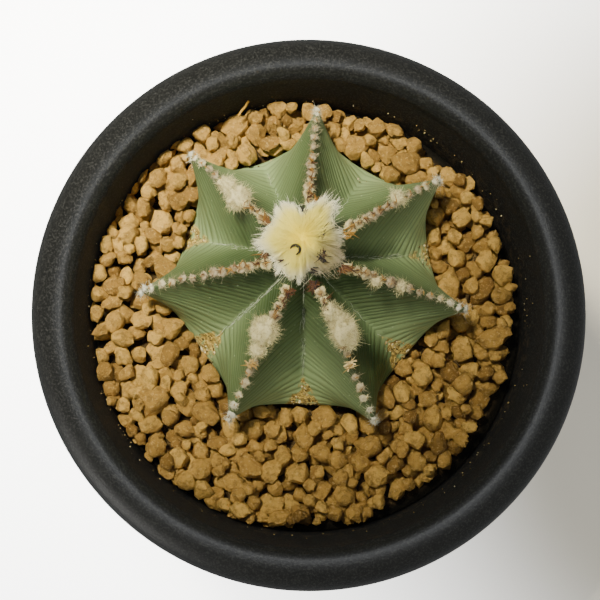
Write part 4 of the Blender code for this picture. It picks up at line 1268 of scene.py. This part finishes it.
def crown_finish():
    """Silky wool: yellow, then cream, then whitish at the edge, with painted shade in places."""
    material, tree, shader, _ = start_finish("cream_wool", 0.8, Specular_IOR_Level=0.2)
    out = attribute(tree, "out")
    base = wash(tree, colour(255, 232, 56), out, (0.05, 0.60), 1.0, (255, 242, 118))
    base = wash(tree, base, out, (0.60, 1.0), 1.0, (246, 242, 206))
    # Soiled grey with painted shade on the lower right flank
    base = mix(tree, multiply(tree, attribute(tree, "soil_and_shade"), 0.85), base, colour(146, 132, 98))
    base = wash(tree, base, attribute(tree, "tone"), (0.5, 1.0), 0.12, (220, 196, 120))
    # A little painted shade towards each hair's root
    base = wash(tree, base, attribute(tree, "tip"), (0.35, 0.0), 0.10, (206, 174, 84))
    tree.links.new(base, shader.inputs["Base Color"])
    return material


# %% [markdown]
# The felt and its hairs are one tuft and one piece. They are worked out upright, round the
# plant's axis, and the finished tuft is leant with the plant.

# %% Make the crown wool
crown_draw = np.random.default_rng(8)
crown_points, crown_faces = joined([cushion, crown_hairs(crown_draw)])
cream_wool = crown_finish()
crown = make_piece(
    "crown_tuft", planted(crown_points), crown_faces, cream_wool, "cream_wool",
    **crown_values(crown_points, crown_draw, len(cushion[0])),
)
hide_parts("crown_wool")

# %% [markdown]
# Short soft spines curl out of the young areoles and lie over the wool. They are rusty where
# they are new and straw coloured further out. Particles could scatter them, but here each
# areole's own frame of directions is at hand, so its spines leave it the way they grew. Each is
# a tube on a bent path, with its own tone.

# %% Areole spines
SPINE_RADIUS = 0.00012
SPINE_JOINTS = 7
SPINE_SIDES = 5
AREOLE_SPINE_RADII = taper(0.75 * SPINE_RADIUS, 0.92, 2, SPINE_JOINTS)
AREOLE_SPINE_LENGTHS = (0.0005, 0.0010)
AREOLE_SPINE_LIFT = 0.00050
AREOLE_SPINE_SCATTER = 0.00014
YOUNG_SHARE = 0.4
YOUNG_SPINES = 7
OLD_SPINES = 2


def areole_spines(draw):
    """Spines on each areole, most on the young ones, and each one's tone."""
    sets, tones = [], []
    for rib in range(len(RIBS)):
        ages = areole_ages(rib)
        points, along, across, normal = edge_frame(rib, ages)
        share = np.linspace(0, 1, len(ages))
        spines_each = np.where(share < YOUNG_SHARE, YOUNG_SPINES, OLD_SPINES)
        owner = np.repeat(np.arange(len(ages)), spines_each)
        count = len(owner)
        scatter = draw.normal(0, AREOLE_SPINE_SCATTER, (count, 3))
        roots = points[owner] + AREOLE_SPINE_LIFT * normal[owner] + scatter
        drift = draw.normal(0, 1, (count, 2))
        ways = 0.45 * normal[owner] + drift[:, :1] * along[owner]
        ways = unit(ways + 0.6 * drift[:, 1:] * across[owner])
        sags = -0.5 * normal[owner] + draw.normal(0, 0.3, (count, 3))
        length = draw.uniform(*AREOLE_SPINE_LENGTHS, count) * (1.1 - 0.4 * share[owner])
        length = length[:, None]
        sets.append(strands(roots, ways * length, sags * length, AREOLE_SPINE_RADII, SPINE_SIDES))
        tones.append(np.clip(0.20 + 0.45 * share[owner] + draw.normal(0, 0.12, count), 0, 1))
    return sets, tones


spine_draw = np.random.default_rng(21)
rib_sets, rib_tones = areole_spines(spine_draw)
print(f"{sum(map(len, rib_tones))} spines on the areoles")

# %% [markdown]
# Where the ribs run in under the crown wool the spines stand thicker, in bundles, and some dead
# scraps lie dark on the wool. No rule places them, so each bundle is a line of a short list: a
# spot, a direction, how much its spines spread, their length, number and tone.

# %% Crown spines
CROWN_SPINE_RADII = taper(SPINE_RADIUS, 0.92, 2, SPINE_JOINTS)
BUNDLE_SCATTER = 0.28
# Bundles by the crown and below two pads: x, y, z (mm), direction (degrees), spread (radians),
# length (mm), count and tone
SPINE_BUNDLES = (
    (-1.9, -4.5, 21.3, 245, 0.9, 1.2, 22, 0.17), (1.1, -3.7, 21.3, 275, 1.0, 1.3, 30, 0.13),
    (5.2, -1.4, 21.2, -15, 0.8, 1.3, 20, 0.22), (5.6, 3.3, 21.2, 28, 0.3, 1.9, 9, 0.46),
    (-5.2, 0.4, 21.1, 178, 0.6, 1.6, 14, 0.30), (-4.9, 5.0, 21.1, 125, 0.6, 1.4, 12, 0.30),
    (1.6, 7.6, 21.1, 88, 0.4, 1.4, 8, 0.36), (2.3, -0.1, 23.5, 40, 1.8, 0.9, 30, 0.04),
    (2.7, 2.9, 23.4, 58, 0.25, 2.0, 6, 0.03), (0.1, 5.7, 22.9, 50, 0.5, 1.0, 4, 0.02),
    (1.6, -1.8, 22.6, 5, 0.3, 1.1, 4, 0.02), (-2.6, -0.9, 22.8, 200, 0.4, 0.8, 3, 0.05),
    (6.2, -13.5, 16.2, -60, 2.2, 1.4, 12, 0.68), (-6.9, -13.6, 16.0, 250, 2.2, 1.3, 12, 0.60),
)


def crown_spines(draw):
    """The bundles' spines, and each one's tone."""
    sets, tones = [], []
    for x, y, z, azimuth, spread, length, count, tone in SPINE_BUNDLES:
        turn = np.radians(azimuth) + draw.normal(0, spread, count)
        ways = unit(np.stack([np.cos(turn), np.sin(turn), draw.uniform(0.0, 0.5, count)], -1))
        scatter = draw.normal(0, BUNDLE_SCATTER, (count, 3)) * (1, 1, 0.3)
        roots = (np.array([x, y, z]) + scatter) / 1000 - ways * length / 3000
        sags = draw.normal(0, 0.25, (count, 3)) * (1, 1, 0.3) - np.array([0, 0, 0.35])
        size = (length * draw.uniform(0.7, 1.2, count) / 1000)[:, None]
        sets.append(strands(roots, ways * size, sags * size, CROWN_SPINE_RADII, SPINE_SIDES))
        tones.append(np.clip(tone + draw.normal(0, 0.06, count), 0, 1))
    return sets, tones


crown_sets, crown_tones = crown_spines(spine_draw)
print(f"{sum(map(len, crown_tones))} spines in bundles")

# %% [markdown]
# A flower that fell has left a small dark ring on the wool. A torus would close it, and the real
# one is torn open and thin at its ends, so it is a tube on an arc, widest in the middle.

# %% Dried ring
RING_CENTRE_MM = np.array([-1.15, 0.65, 23.95])
RING_RADIUS_MM = 0.60
RING_ENDS_DEG = (-80, 165)
RING_JOINTS = 14
RING_HALF_WIDTH = 0.00023


def dark_ring():
    """The dried foot of an old flower: a little ring on the wool, two thirds closed."""
    turn = np.radians(np.linspace(*RING_ENDS_DEG, RING_JOINTS))
    bend = RING_RADIUS_MM * np.stack([np.cos(turn), np.sin(turn), 0.15 * np.sin(turn)], -1)
    path = (RING_CENTRE_MM + bend) / 1000
    width = RING_HALF_WIDTH * np.sin(np.linspace(0.35, np.pi - 0.35, RING_JOINTS))
    facing = np.broadcast_to(UP, (1, RING_JOINTS, 3))
    return tubes(path[None], width[None], SPINE_SIDES, facing)


# %% [markdown]
# A spine is horn: it hardens near black, weathers to rust and bleaches to straw. Three finishes
# would do, but with the tone as an attribute one ramp of colours covers every spine and also
# the ring.

# %% Spine finish


def spine_finish():
    """Horn: near black, then rust, then straw, by each spine's tone."""
    material, tree, shader, _ = start_finish("spine_horn", 0.45)
    tone = attribute(tree, "tone")
    base = wash(tree, colour(26, 19, 12), tone, (0.02, 0.20), 1.0, (84, 50, 20))
    base = wash(tree, base, tone, (0.20, 0.50), 1.0, (152, 112, 34))
    base = wash(tree, base, tone, (0.50, 0.95), 1.0, (222, 208, 150))
    tree.links.new(base, shader.inputs["Base Color"])
    return material


# %% [markdown]
# Spines and ring become one piece, because they share a finish and none of them moves. The tones
# are repeated for the points of each tube, and the ring's tone is zero, the darkest.

# %% Make the spines
spine_points, spine_faces = joined(rib_sets + crown_sets + [dark_ring()])
spine_tones = np.repeat(np.concatenate(rib_tones + crown_tones), SPINE_JOINTS * SPINE_SIDES)
spine_tones = np.concatenate([spine_tones, np.zeros(RING_JOINTS * SPINE_SIDES)])
spine_horn = spine_finish()
make_piece(
    "spines", planted(spine_points), spine_faces, spine_horn, "cream_wool", tone=spine_tones,
)

# %% [markdown]
# Fine white fibres, shed by the wool, have caught along the bottoms of the valleys. They could be
# drawn as pale lines in the skin's colours, but close up they lie on it and cast shadows. So
# they are hairs again, only long and lying down: each starts on a valley's line and drifts
# along it.

# %% Valley fibres
# Each valley, by the rib on its right: how many fibres lie there and how far they stray
FIBRE_COUNTS = (14, 8, 20, 7, 30, 56, 26)
FIBRE_STRAYS = (0.05, 0.05, 0.03, 0.03, 0.03, 0.022, 0.03)
FIBRE_RADIUS = 0.000024
FIBRE_JOINTS = 7
FIBRE_STRETCH = (0.02, 0.10)
FIBRE_AGES = (0.20, 0.80)
FIBRE_FLANK = 0.6
FIBRE_LIFT = 0.00010
FIBRE_ARCH = 0.00030


def at_step(ages, rib, step):
    """Points of the skin at one step across one rib, for each age."""
    return skin(ages, np.array([rib]), np.array([step]))[:, 0]


def valley_fibres():
    """Fibres along each valley.

    Each follows a stretch of the valley's line, strays a little up the flank on one side, and
    wavers: its share of the way up the flank is a start plus a random sine.
    """
    draw = np.random.default_rng(31)
    t = np.linspace(0, 1, FIBRE_JOINTS)
    paths = []
    for rib, count in enumerate(FIBRE_COUNTS):
        joints = (count, FIBRE_JOINTS, 3)
        stretch = draw.uniform(*FIBRE_STRETCH, (count, 1))
        ages = np.clip(draw.uniform(*FIBRE_AGES, (count, 1)) + stretch * t, 0, 0.98).ravel()
        valley = at_step(ages, rib, -1.0).reshape(joints)
        flank = at_step(ages, rib, -FIBRE_FLANK).reshape(joints)
        mirror = at_step(ages, rib - 1, FIBRE_FLANK).reshape(joints)
        flank = np.where(draw.random((count, 1, 1)) < 0.5, flank, mirror)
        stray = FIBRE_STRAYS[rib]
        waver = stray * np.sin(draw.uniform(2, 7, (count, 1)) * t + draw.uniform(0, 6, (count, 1)))
        share = np.clip(draw.exponential(stray, (count, 1)) + waver, 0, 0.8)
        lift = FIBRE_LIFT + FIBRE_ARCH * np.sin(np.pi * t) * draw.random((count, 1))
        paths.append(valley + share[..., None] * (flank - valley) + lift[..., None] * UP)
    paths = np.concatenate(paths)
    radii = FIBRE_RADIUS * np.linspace(1, 0.5, FIBRE_JOINTS)
    return tubes(paths, np.broadcast_to(radii, paths.shape[:2]), HAIR_SIDES)


def fibre_finish():
    """White wool, greyer in places."""
    material, tree, shader, place = start_finish("white_fibre", 0.7)
    tone = noise(tree, place, 300.0)
    base = mix(tree, tone, colour(226, 228, 206), colour(176, 184, 150))
    tree.links.new(base, shader.inputs["Base Color"])
    return material


fibre_points, fibre_faces = valley_fibres()
make_piece("valley_fibres", planted(fibre_points), fibre_faces, fibre_finish(), "cream_wool")

# %% [markdown]
# The grit is baked clay: porous, tan, knocked round at the corners. A grain's form is a rounded
# polyhedron. In any direction the distance to a flat face is easy to write, and taking a high
# power mean over the faces instead of the nearest one rounds the edges off.

# %% Grain shapes
STONE_FACES = 11
STONE_POWER = 18.0
FACE_SCATTER = 0.30
FACE_DISTANCES = (0.70, 1.02)
STONE_LIMIT = 1.30
STONE_ROUGHNESS = 0.035


def stone_shapes(count, lattice, draw):
    """Stones of about unit size, one row of points each.

    In a direction u the surface is at 1 / (sum of max(0, u.n / d)^p)^(1/p), for face normals n
    at distances d. Normals are spread evenly over a ball and then disturbed.
    """
    index = np.arange(STONE_FACES) + 0.5
    level = 1 - 2 * index / STONE_FACES
    even = round_axis(np.sqrt(1 - level**2), index * np.pi * (3 - math.sqrt(5)), level)
    normals = unit(even + draw.normal(0, FACE_SCATTER, (count, STONE_FACES, 3)))
    distance = draw.uniform(*FACE_DISTANCES, (count, STONE_FACES))
    lean = np.maximum(0, np.einsum("vk,nfk->nvf", lattice, normals)) / distance[:, None]
    radius = 1 / (lean**STONE_POWER).sum(-1) ** (1 / STONE_POWER)
    radius = np.minimum(radius, STONE_LIMIT)
    radius = radius * (1 + draw.normal(0, STONE_ROUGHNESS, radius.shape))
    return lattice * radius[..., None]


def random_turns(count, draw):
    """Rotation matrices from random quaternions."""
    w, x, y, z = unit(draw.normal(size=(count, 4))).T
    rows = [1 - 2 * (y * y + z * z), 2 * (x * y - w * z), 2 * (x * z + w * y),
            2 * (x * y + w * z), 1 - 2 * (x * x + z * z), 2 * (y * z - w * x),
            2 * (x * z - w * y), 2 * (y * z + w * x), 1 - 2 * (x * x + y * y)]
    return np.stack(rows, -1).reshape(-1, 3, 3)


def stones(centres, sizes, stretch, lattice, draw):
    """Stones of given sizes at given centres, stretched along their own axes and turned."""
    ways, faces = lattice
    count = len(centres)
    shapes = stone_shapes(count, ways, draw)
    shapes = shapes * draw.uniform(*np.transpose(stretch), (count, 1, 3))
    shapes = np.einsum("nvk,njk->nvj", shapes, random_turns(count, draw))
    return balls(centres[:, None] + shapes * sizes[:, None, None], faces)


# %% [markdown]
# To lie as poured grit does, the grains are settled one after another. Each tries sixty random
# places between the plant and the wall and takes the lowest, where it rests on the grains
# already there. That packs them closely, fills the hollows first and leaves an uneven top, with
# no physics run needed. The heap lies a little to the left and keeps off the wall.

# %% Grain places
BED_LEVEL = SOIL_LEVEL - 0.0024
GRAIN_COUNT = 960
GRAIN_TRIES = 60
GRAIN_SIZE = 0.00120
GRAIN_SPREAD = 0.25
GRAIN_LIMITS = (0.00062, 0.00195)
TOUCH_GAP = 0.0003
SETTLE = 0.83
HEAP_CENTRE = np.array([-0.0012, 0.0007])
HEAP_RADIUS = 0.0303
HEAP_SLOPE = np.array([-0.045, 0.010])
HEAP_RAGGED = 0.0006
HEAP_TOP = 0.0592
# As shares of its size, how far a grain keeps from the heap's edge and the plant, and how far
# its centre is over the bed
EDGE_CLEAR = 0.9
PLANT_CLEAR = 0.75
BED_SEAT = 0.5


def plant_reach(points):
    """How far the plant's skin is from its axis at the soil line, towards each point."""
    outline = skin(np.array([1.0]), rib_numbers, steps)[0]
    angles = np.arctan2(outline[:, 1], outline[:, 0])
    order = np.argsort(angles)
    toward = np.arctan2(points[..., 1] - PLANT_BASE[1], points[..., 0] - PLANT_BASE[0])
    return np.interp(toward, angles[order], np.hypot(*outline[order, :2].T), period=2 * np.pi)


def settle_grains(draw):
    """Centres and radii of settled grains, without the few that ended too high.

    On a grain already at (x, y, z) another rests at z + sqrt(reach^2 - apart^2), where reach is
    a little less than the two radii together, and its height is the greatest of these.
    """
    sizes = np.clip(GRAIN_SIZE * np.exp(draw.normal(0, GRAIN_SPREAD, GRAIN_COUNT)), *GRAIN_LIMITS)
    placed = np.zeros((GRAIN_COUNT, 3))
    for number, size in enumerate(sizes):
        turn = draw.uniform(0, 2 * np.pi, GRAIN_TRIES)
        limit = HEAP_RADIUS + HEAP_RAGGED * np.sin(5 * turn + 1) * np.sin(8 * turn)
        reach = (limit - EDGE_CLEAR * size) * np.sqrt(draw.random(GRAIN_TRIES))
        tries = HEAP_CENTRE + np.stack([reach * np.cos(turn), reach * np.sin(turn)], -1)
        from_plant = np.hypot(*(tries - PLANT_BASE[:2]).T) - plant_reach(tries)
        tries = tries[from_plant > PLANT_CLEAR * size]
        apart = np.linalg.norm(tries[:, None] - placed[None, :number, :2], axis=-1)
        touch = SETTLE * (size + sizes[:number])
        rest = placed[:number, 2] + np.sqrt(np.maximum(touch**2 - apart**2, 0))
        ground = BED_LEVEL + tries @ HEAP_SLOPE + BED_SEAT * size
        heights = np.where(apart < touch, rest, ground[:, None])
        height = np.maximum(ground, heights.max(axis=1, initial=0))
        lowest = np.argmin(height)
        placed[number] = (*tries[lowest], height[lowest])
    kept = placed[:, 2] + sizes < HEAP_TOP
    return placed[kept], sizes[kept]


def keep_in_pot(points):
    """Draw points that would pass into the wall back to it."""
    limit = wall_inside(points[:, 2]) - TOUCH_GAP
    away = np.hypot(points[:, 0], points[:, 1])
    points[:, :2] *= np.minimum(1, limit / away)[:, None]
    return points


grain_draw = np.random.default_rng(17)
grain_centres, grain_sizes = settle_grains(grain_draw)
grain_tops = 1000 * (grain_centres[:, 2] + grain_sizes)
print(f"{len(grain_sizes)} grains, tops {np.median(grain_tops):.1f} mm high, at most "
      f"{grain_tops.max():.1f}")

# %% [markdown]
# Under the loose grains lies the bed that fills the pot. Only glints of it show, but it is a
# whole solid all the same: one closed skin from the bottom of the plant's hole, up the hole's
# side, over the top, down the wall and across the floor.

# %% Grit bed
HOLE_GAP = 0.0003
HOLE_AGES = (1.34, 1.22, 1.10, 1.02)
BED_TOP_ROWS = 12
BED_LUMPS = 0.00025
BED_SIDE_DROP = 0.002
BED_SIDE_ROWS = 6


def grit_bed():
    """The filling's skin as a grid of rings, each a blend or an offset of known outlines."""
    hole = planted(skin(np.array(HOLE_AGES), rib_numbers, steps))
    centre = hole.mean(axis=1, keepdims=True)
    hole = hole + HOLE_GAP * unit((hole - centre) * (1, 1, 0))
    rim = hole[-1]
    turn = np.arctan2(rim[:, 1], rim[:, 0])
    outer = round_axis(wall_inside(BED_LEVEL) - TOUCH_GAP, turn, BED_LEVEL)
    inner = rim * (1, 1, 0) + BED_LEVEL * UP
    share = np.linspace(0, 1, BED_TOP_ROWS)[:, None, None]
    top = inner + share * (outer - inner)
    top[..., 2] += BED_LUMPS * waves(top, 0.003, 14)
    low = FLOOR_TOP + TOUCH_GAP
    down = np.linspace(BED_LEVEL - BED_SIDE_DROP, low + FLOOR_FILLET, BED_SIDE_ROWS)[:, None]
    side = round_axis(wall_inside(down) - TOUCH_GAP, turn, down)
    corner = round_axis(wall_inside(low) - FLOOR_FILLET - 2 * TOUCH_GAP, turn, low)
    grid = np.concatenate([hole[:-1], top, side, corner[None]])
    pit = planted(np.array([0, 0, RIB_EDGE[-1, 2] - NECK_POINT - HOLE_GAP]))
    return closed_grid(grid, pit, (0, 0, low))


bed_points, bed_faces = grit_bed()
print(f"Bed skin: {len(bed_points)} points, {1000 * np.ptp(bed_points[:, 2]):.1f} mm deep")

# %% [markdown]
# Fired clay isn't one tan. Each grain has a tone of its own, and noise smaller than a grain gives
# it darker mottling and pale broken places. The pits are too many for geometry, so they are
# bump. Under the grains the fines are a dark dusty brown, partly as painted shade in the gaps,
# and they turn black with painted shade where the pot's wall begins to show.

# %% Grit finish
PIT_DEPTH = 0.0009
FINES_DEPTH = 0.0004
# Where the fines turn black with painted shade by the wall, out from the axis
WALL_EDGE_SHADE = (0.0275, 0.0295)


def grit_finish():
    """Tan clay: each grain has a tone of its own, is mottled, and is pitted all over."""
    material, tree, shader, place = start_finish("tan_grit", 0.92, Specular_IOR_Level=0.12)
    tone = attribute(tree, "tone")
    base = wash(tree, colour(134, 100, 47), tone, (0.0, 0.45), 1.0, (184, 144, 71))
    base = wash(tree, base, tone, (0.45, 1.0), 1.0, (214, 172, 87))
    mottle = noise(tree, place, 1000.0, 5.0, 0.7)
    base = wash(tree, base, mottle, (0.44, 0.66), 0.70, (128, 99, 53))
    pale = noise(tree, place, 2200.0, 3.0, 0.65)
    base = wash(tree, base, pale, (0.52, 0.70), 0.45, (224, 188, 114))
    tree.links.new(base, shader.inputs["Base Color"])
    bump(tree, shader, noise(tree, place, 1500.0, 6.0, 0.75), PIT_DEPTH)
    return material


def fines_finish():
    """The fines under the grains: dusty brown and painted shade, tan specks, black by the wall."""
    material, tree, shader, place = start_finish("grit_fines", 0.95, Specular_IOR_Level=0.1)
    specks = noise(tree, place, 2000.0, 4.0, 0.7)
    # Dark dusty brown, partly painted shade for the gaps between grains
    base = wash(tree, colour(74, 58, 34), specks, (0.56, 0.66), 1.0, (140, 112, 66))
    # Painted shade: black where the wall begins to show
    base = wash(tree, base, from_axis(tree, place), WALL_EDGE_SHADE, 1.0, (24, 22, 16))
    tree.links.new(base, shader.inputs["Base Color"])
    bump(tree, shader, noise(tree, place, 1800.0, 4.0, 0.7), FINES_DEPTH)
    return material


# %% [markdown]
# The bed and the loose grains are two pieces, since they differ in finish, and together they
# stand for the one solid of grit. Each grain could be an object, but one mesh of them all is far
# lighter. Its edges are marked sharp, so that the grains look broken and not melted.

# %% Make the grit
GRAIN_STRETCH = ((0.95, 1.28), (0.84, 1.08), (0.80, 1.02))
GRAIN_TONES = (0.54, 0.26)
GRAIN_EDGE_DEG = 32.0

bed = make_piece("grit_bed", bed_points, bed_faces, fines_finish(), "tan_grit")
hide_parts("grit")

grain_points, grain_faces = stones(
    grain_centres, grain_sizes, GRAIN_STRETCH, GRAIN_LATTICE, grain_draw,
)
grain_tones = np.clip(grain_draw.normal(*GRAIN_TONES, len(grain_sizes)), 0, 1)
grains = make_piece(
    "grit_grains", keep_in_pot(grain_points), grain_faces, grit_finish(), "tan_grit",
    tone=np.repeat(grain_tones, len(GRAIN_LATTICE[0])),
)
grains.data.set_sharp_from_angle(angle=math.radians(GRAIN_EDGE_DEG))
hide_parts("grit")

# %% [markdown]
# Crumbs finish the surface. Flakes of cork cling where each valley meets the soil, and specks of
# grit stick to the inner wall, most of them just over the soil. A texture could paint them, but
# a crumb on a smooth skin casts a shadow, so they are stones again, on the smallest lattice.

# %% Crumb places
CORK_CRUMBS = 48
CORK_AGES = (0.85, 0.99, 1.0)
CORK_FLANK = 0.35
WALL_CRUMBS = 140
WALL_CRUMB_START = 0.0004
WALL_CRUMB_RISE = 0.0016
WALL_CRUMB_LIMIT = 0.0056
WALL_CRUMB_INSET = 0.0002


def cork_crumbs(draw):
    """Crumbs on the lowest skin of each valley, spread further up its flanks with age."""
    places = []
    for rib, cork in enumerate(VALLEY_CORK):
        count = int(CORK_CRUMBS * cork)
        ages = draw.triangular(*CORK_AGES, count)
        away = 0.30 * draw.random(count) * (ages - 0.82) / 0.18
        valley = at_step(ages, rib, -1.0)
        in_rib = at_step(ages, rib, CORK_FLANK - 1.0)
        next_rib = at_step(ages, rib - 1, 1.0 - CORK_FLANK)
        flank = np.where(draw.random((count, 1)) < 0.5, in_rib, next_rib)
        places.append(valley + (away / CORK_FLANK)[:, None] * (flank - valley))
    return planted(np.concatenate(places))


def wall_crumbs(draw):
    """Specks stuck to the inner wall, fewer and fewer up from the soil."""
    turn = draw.uniform(0, 2 * np.pi, WALL_CRUMBS)
    rise = draw.exponential(WALL_CRUMB_RISE, WALL_CRUMBS).clip(0, WALL_CRUMB_LIMIT)
    height = SOIL_LEVEL + WALL_CRUMB_START + rise
    return round_axis(wall_inside(height) - WALL_CRUMB_INSET, turn, height)


crumb_draw = np.random.default_rng(52)
cork_places, wall_places = cork_crumbs(crumb_draw), wall_crumbs(crumb_draw)
print(f"{len(cork_places)} crumbs of cork and {len(wall_places)} on the wall")

# %% [markdown]
# Cork flakes are larger and run from umber to straw, and specks on the wall are finer and of the
# grit's tones. Two materials would do, but both are dull dust, so one finish ramps its colour by
# each crumb's own tone.

# %% Crumb sizes and tones
CORK_SIZES = (0.00009, 0.00022)
WALL_SIZES = (0.00005, 0.00012)
CORK_TONES = (0.0, 0.85)
WALL_TONES = (0.15, 0.75)
CRUMB_STRETCH = ((0.8, 1.3), (0.7, 1.1), (0.6, 1.0))


def drawn(cork_range, wall_range, draw):
    """A number for each crumb, from its kind's own range."""
    cork = draw.uniform(*cork_range, len(cork_places))
    return np.concatenate([cork, draw.uniform(*wall_range, len(wall_places))])


def cork_finish():
    """Flakes of cork and clay dust: umber, golden or straw, by each crumb's tone."""
    material, tree, shader, _ = start_finish("cork_crumbs", 0.9, Specular_IOR_Level=0.15)
    tone = attribute(tree, "tone")
    base = wash(tree, colour(76, 64, 38), tone, (0.10, 0.45), 1.0, (146, 128, 78))
    base = wash(tree, base, tone, (0.45, 0.95), 1.0, (212, 202, 158))
    tree.links.new(base, shader.inputs["Base Color"])
    return material


crumb_places = np.concatenate([cork_places, wall_places])
crumb_sizes = drawn(CORK_SIZES, WALL_SIZES, crumb_draw)
crumb_points, crumb_faces = stones(
    crumb_places, crumb_sizes, CRUMB_STRETCH, CRUMB_LATTICE, crumb_draw,
)
crumb_tones = drawn(CORK_TONES, WALL_TONES, crumb_draw)
make_piece(
    "crumbs", crumb_points, crumb_faces, cork_finish(), "tan_grit",
    tone=np.repeat(crumb_tones, len(CRUMB_LATTICE[0])),
)

# %% [markdown]
# One dry straw has fallen by the rim. It could be bent by a curve, but four listed points are
# enough for a tube, and it is as dry and glossy as a spine, so it takes the spines' finish at
# the tone of straw.

# %% Straw
STRAW_PATH_MM = np.array([
    (-9.9, 28.0, 59.4), (-9.4, 28.7, 59.8), (-8.9, 29.2, 59.9), (-8.5, 29.9, 60.3),
])
STRAW_RADIUS = 0.00019
STRAW_TONE = 0.55
straw_points, straw_faces = tubes(
    STRAW_PATH_MM[None] / 1000, np.full((1, len(STRAW_PATH_MM)), STRAW_RADIUS), SPINE_SIDES,
)
straw_tones = np.full(len(straw_points), STRAW_TONE)
make_piece("straw", straw_points, straw_faces, spine_horn, "tan_grit", tone=straw_tones)
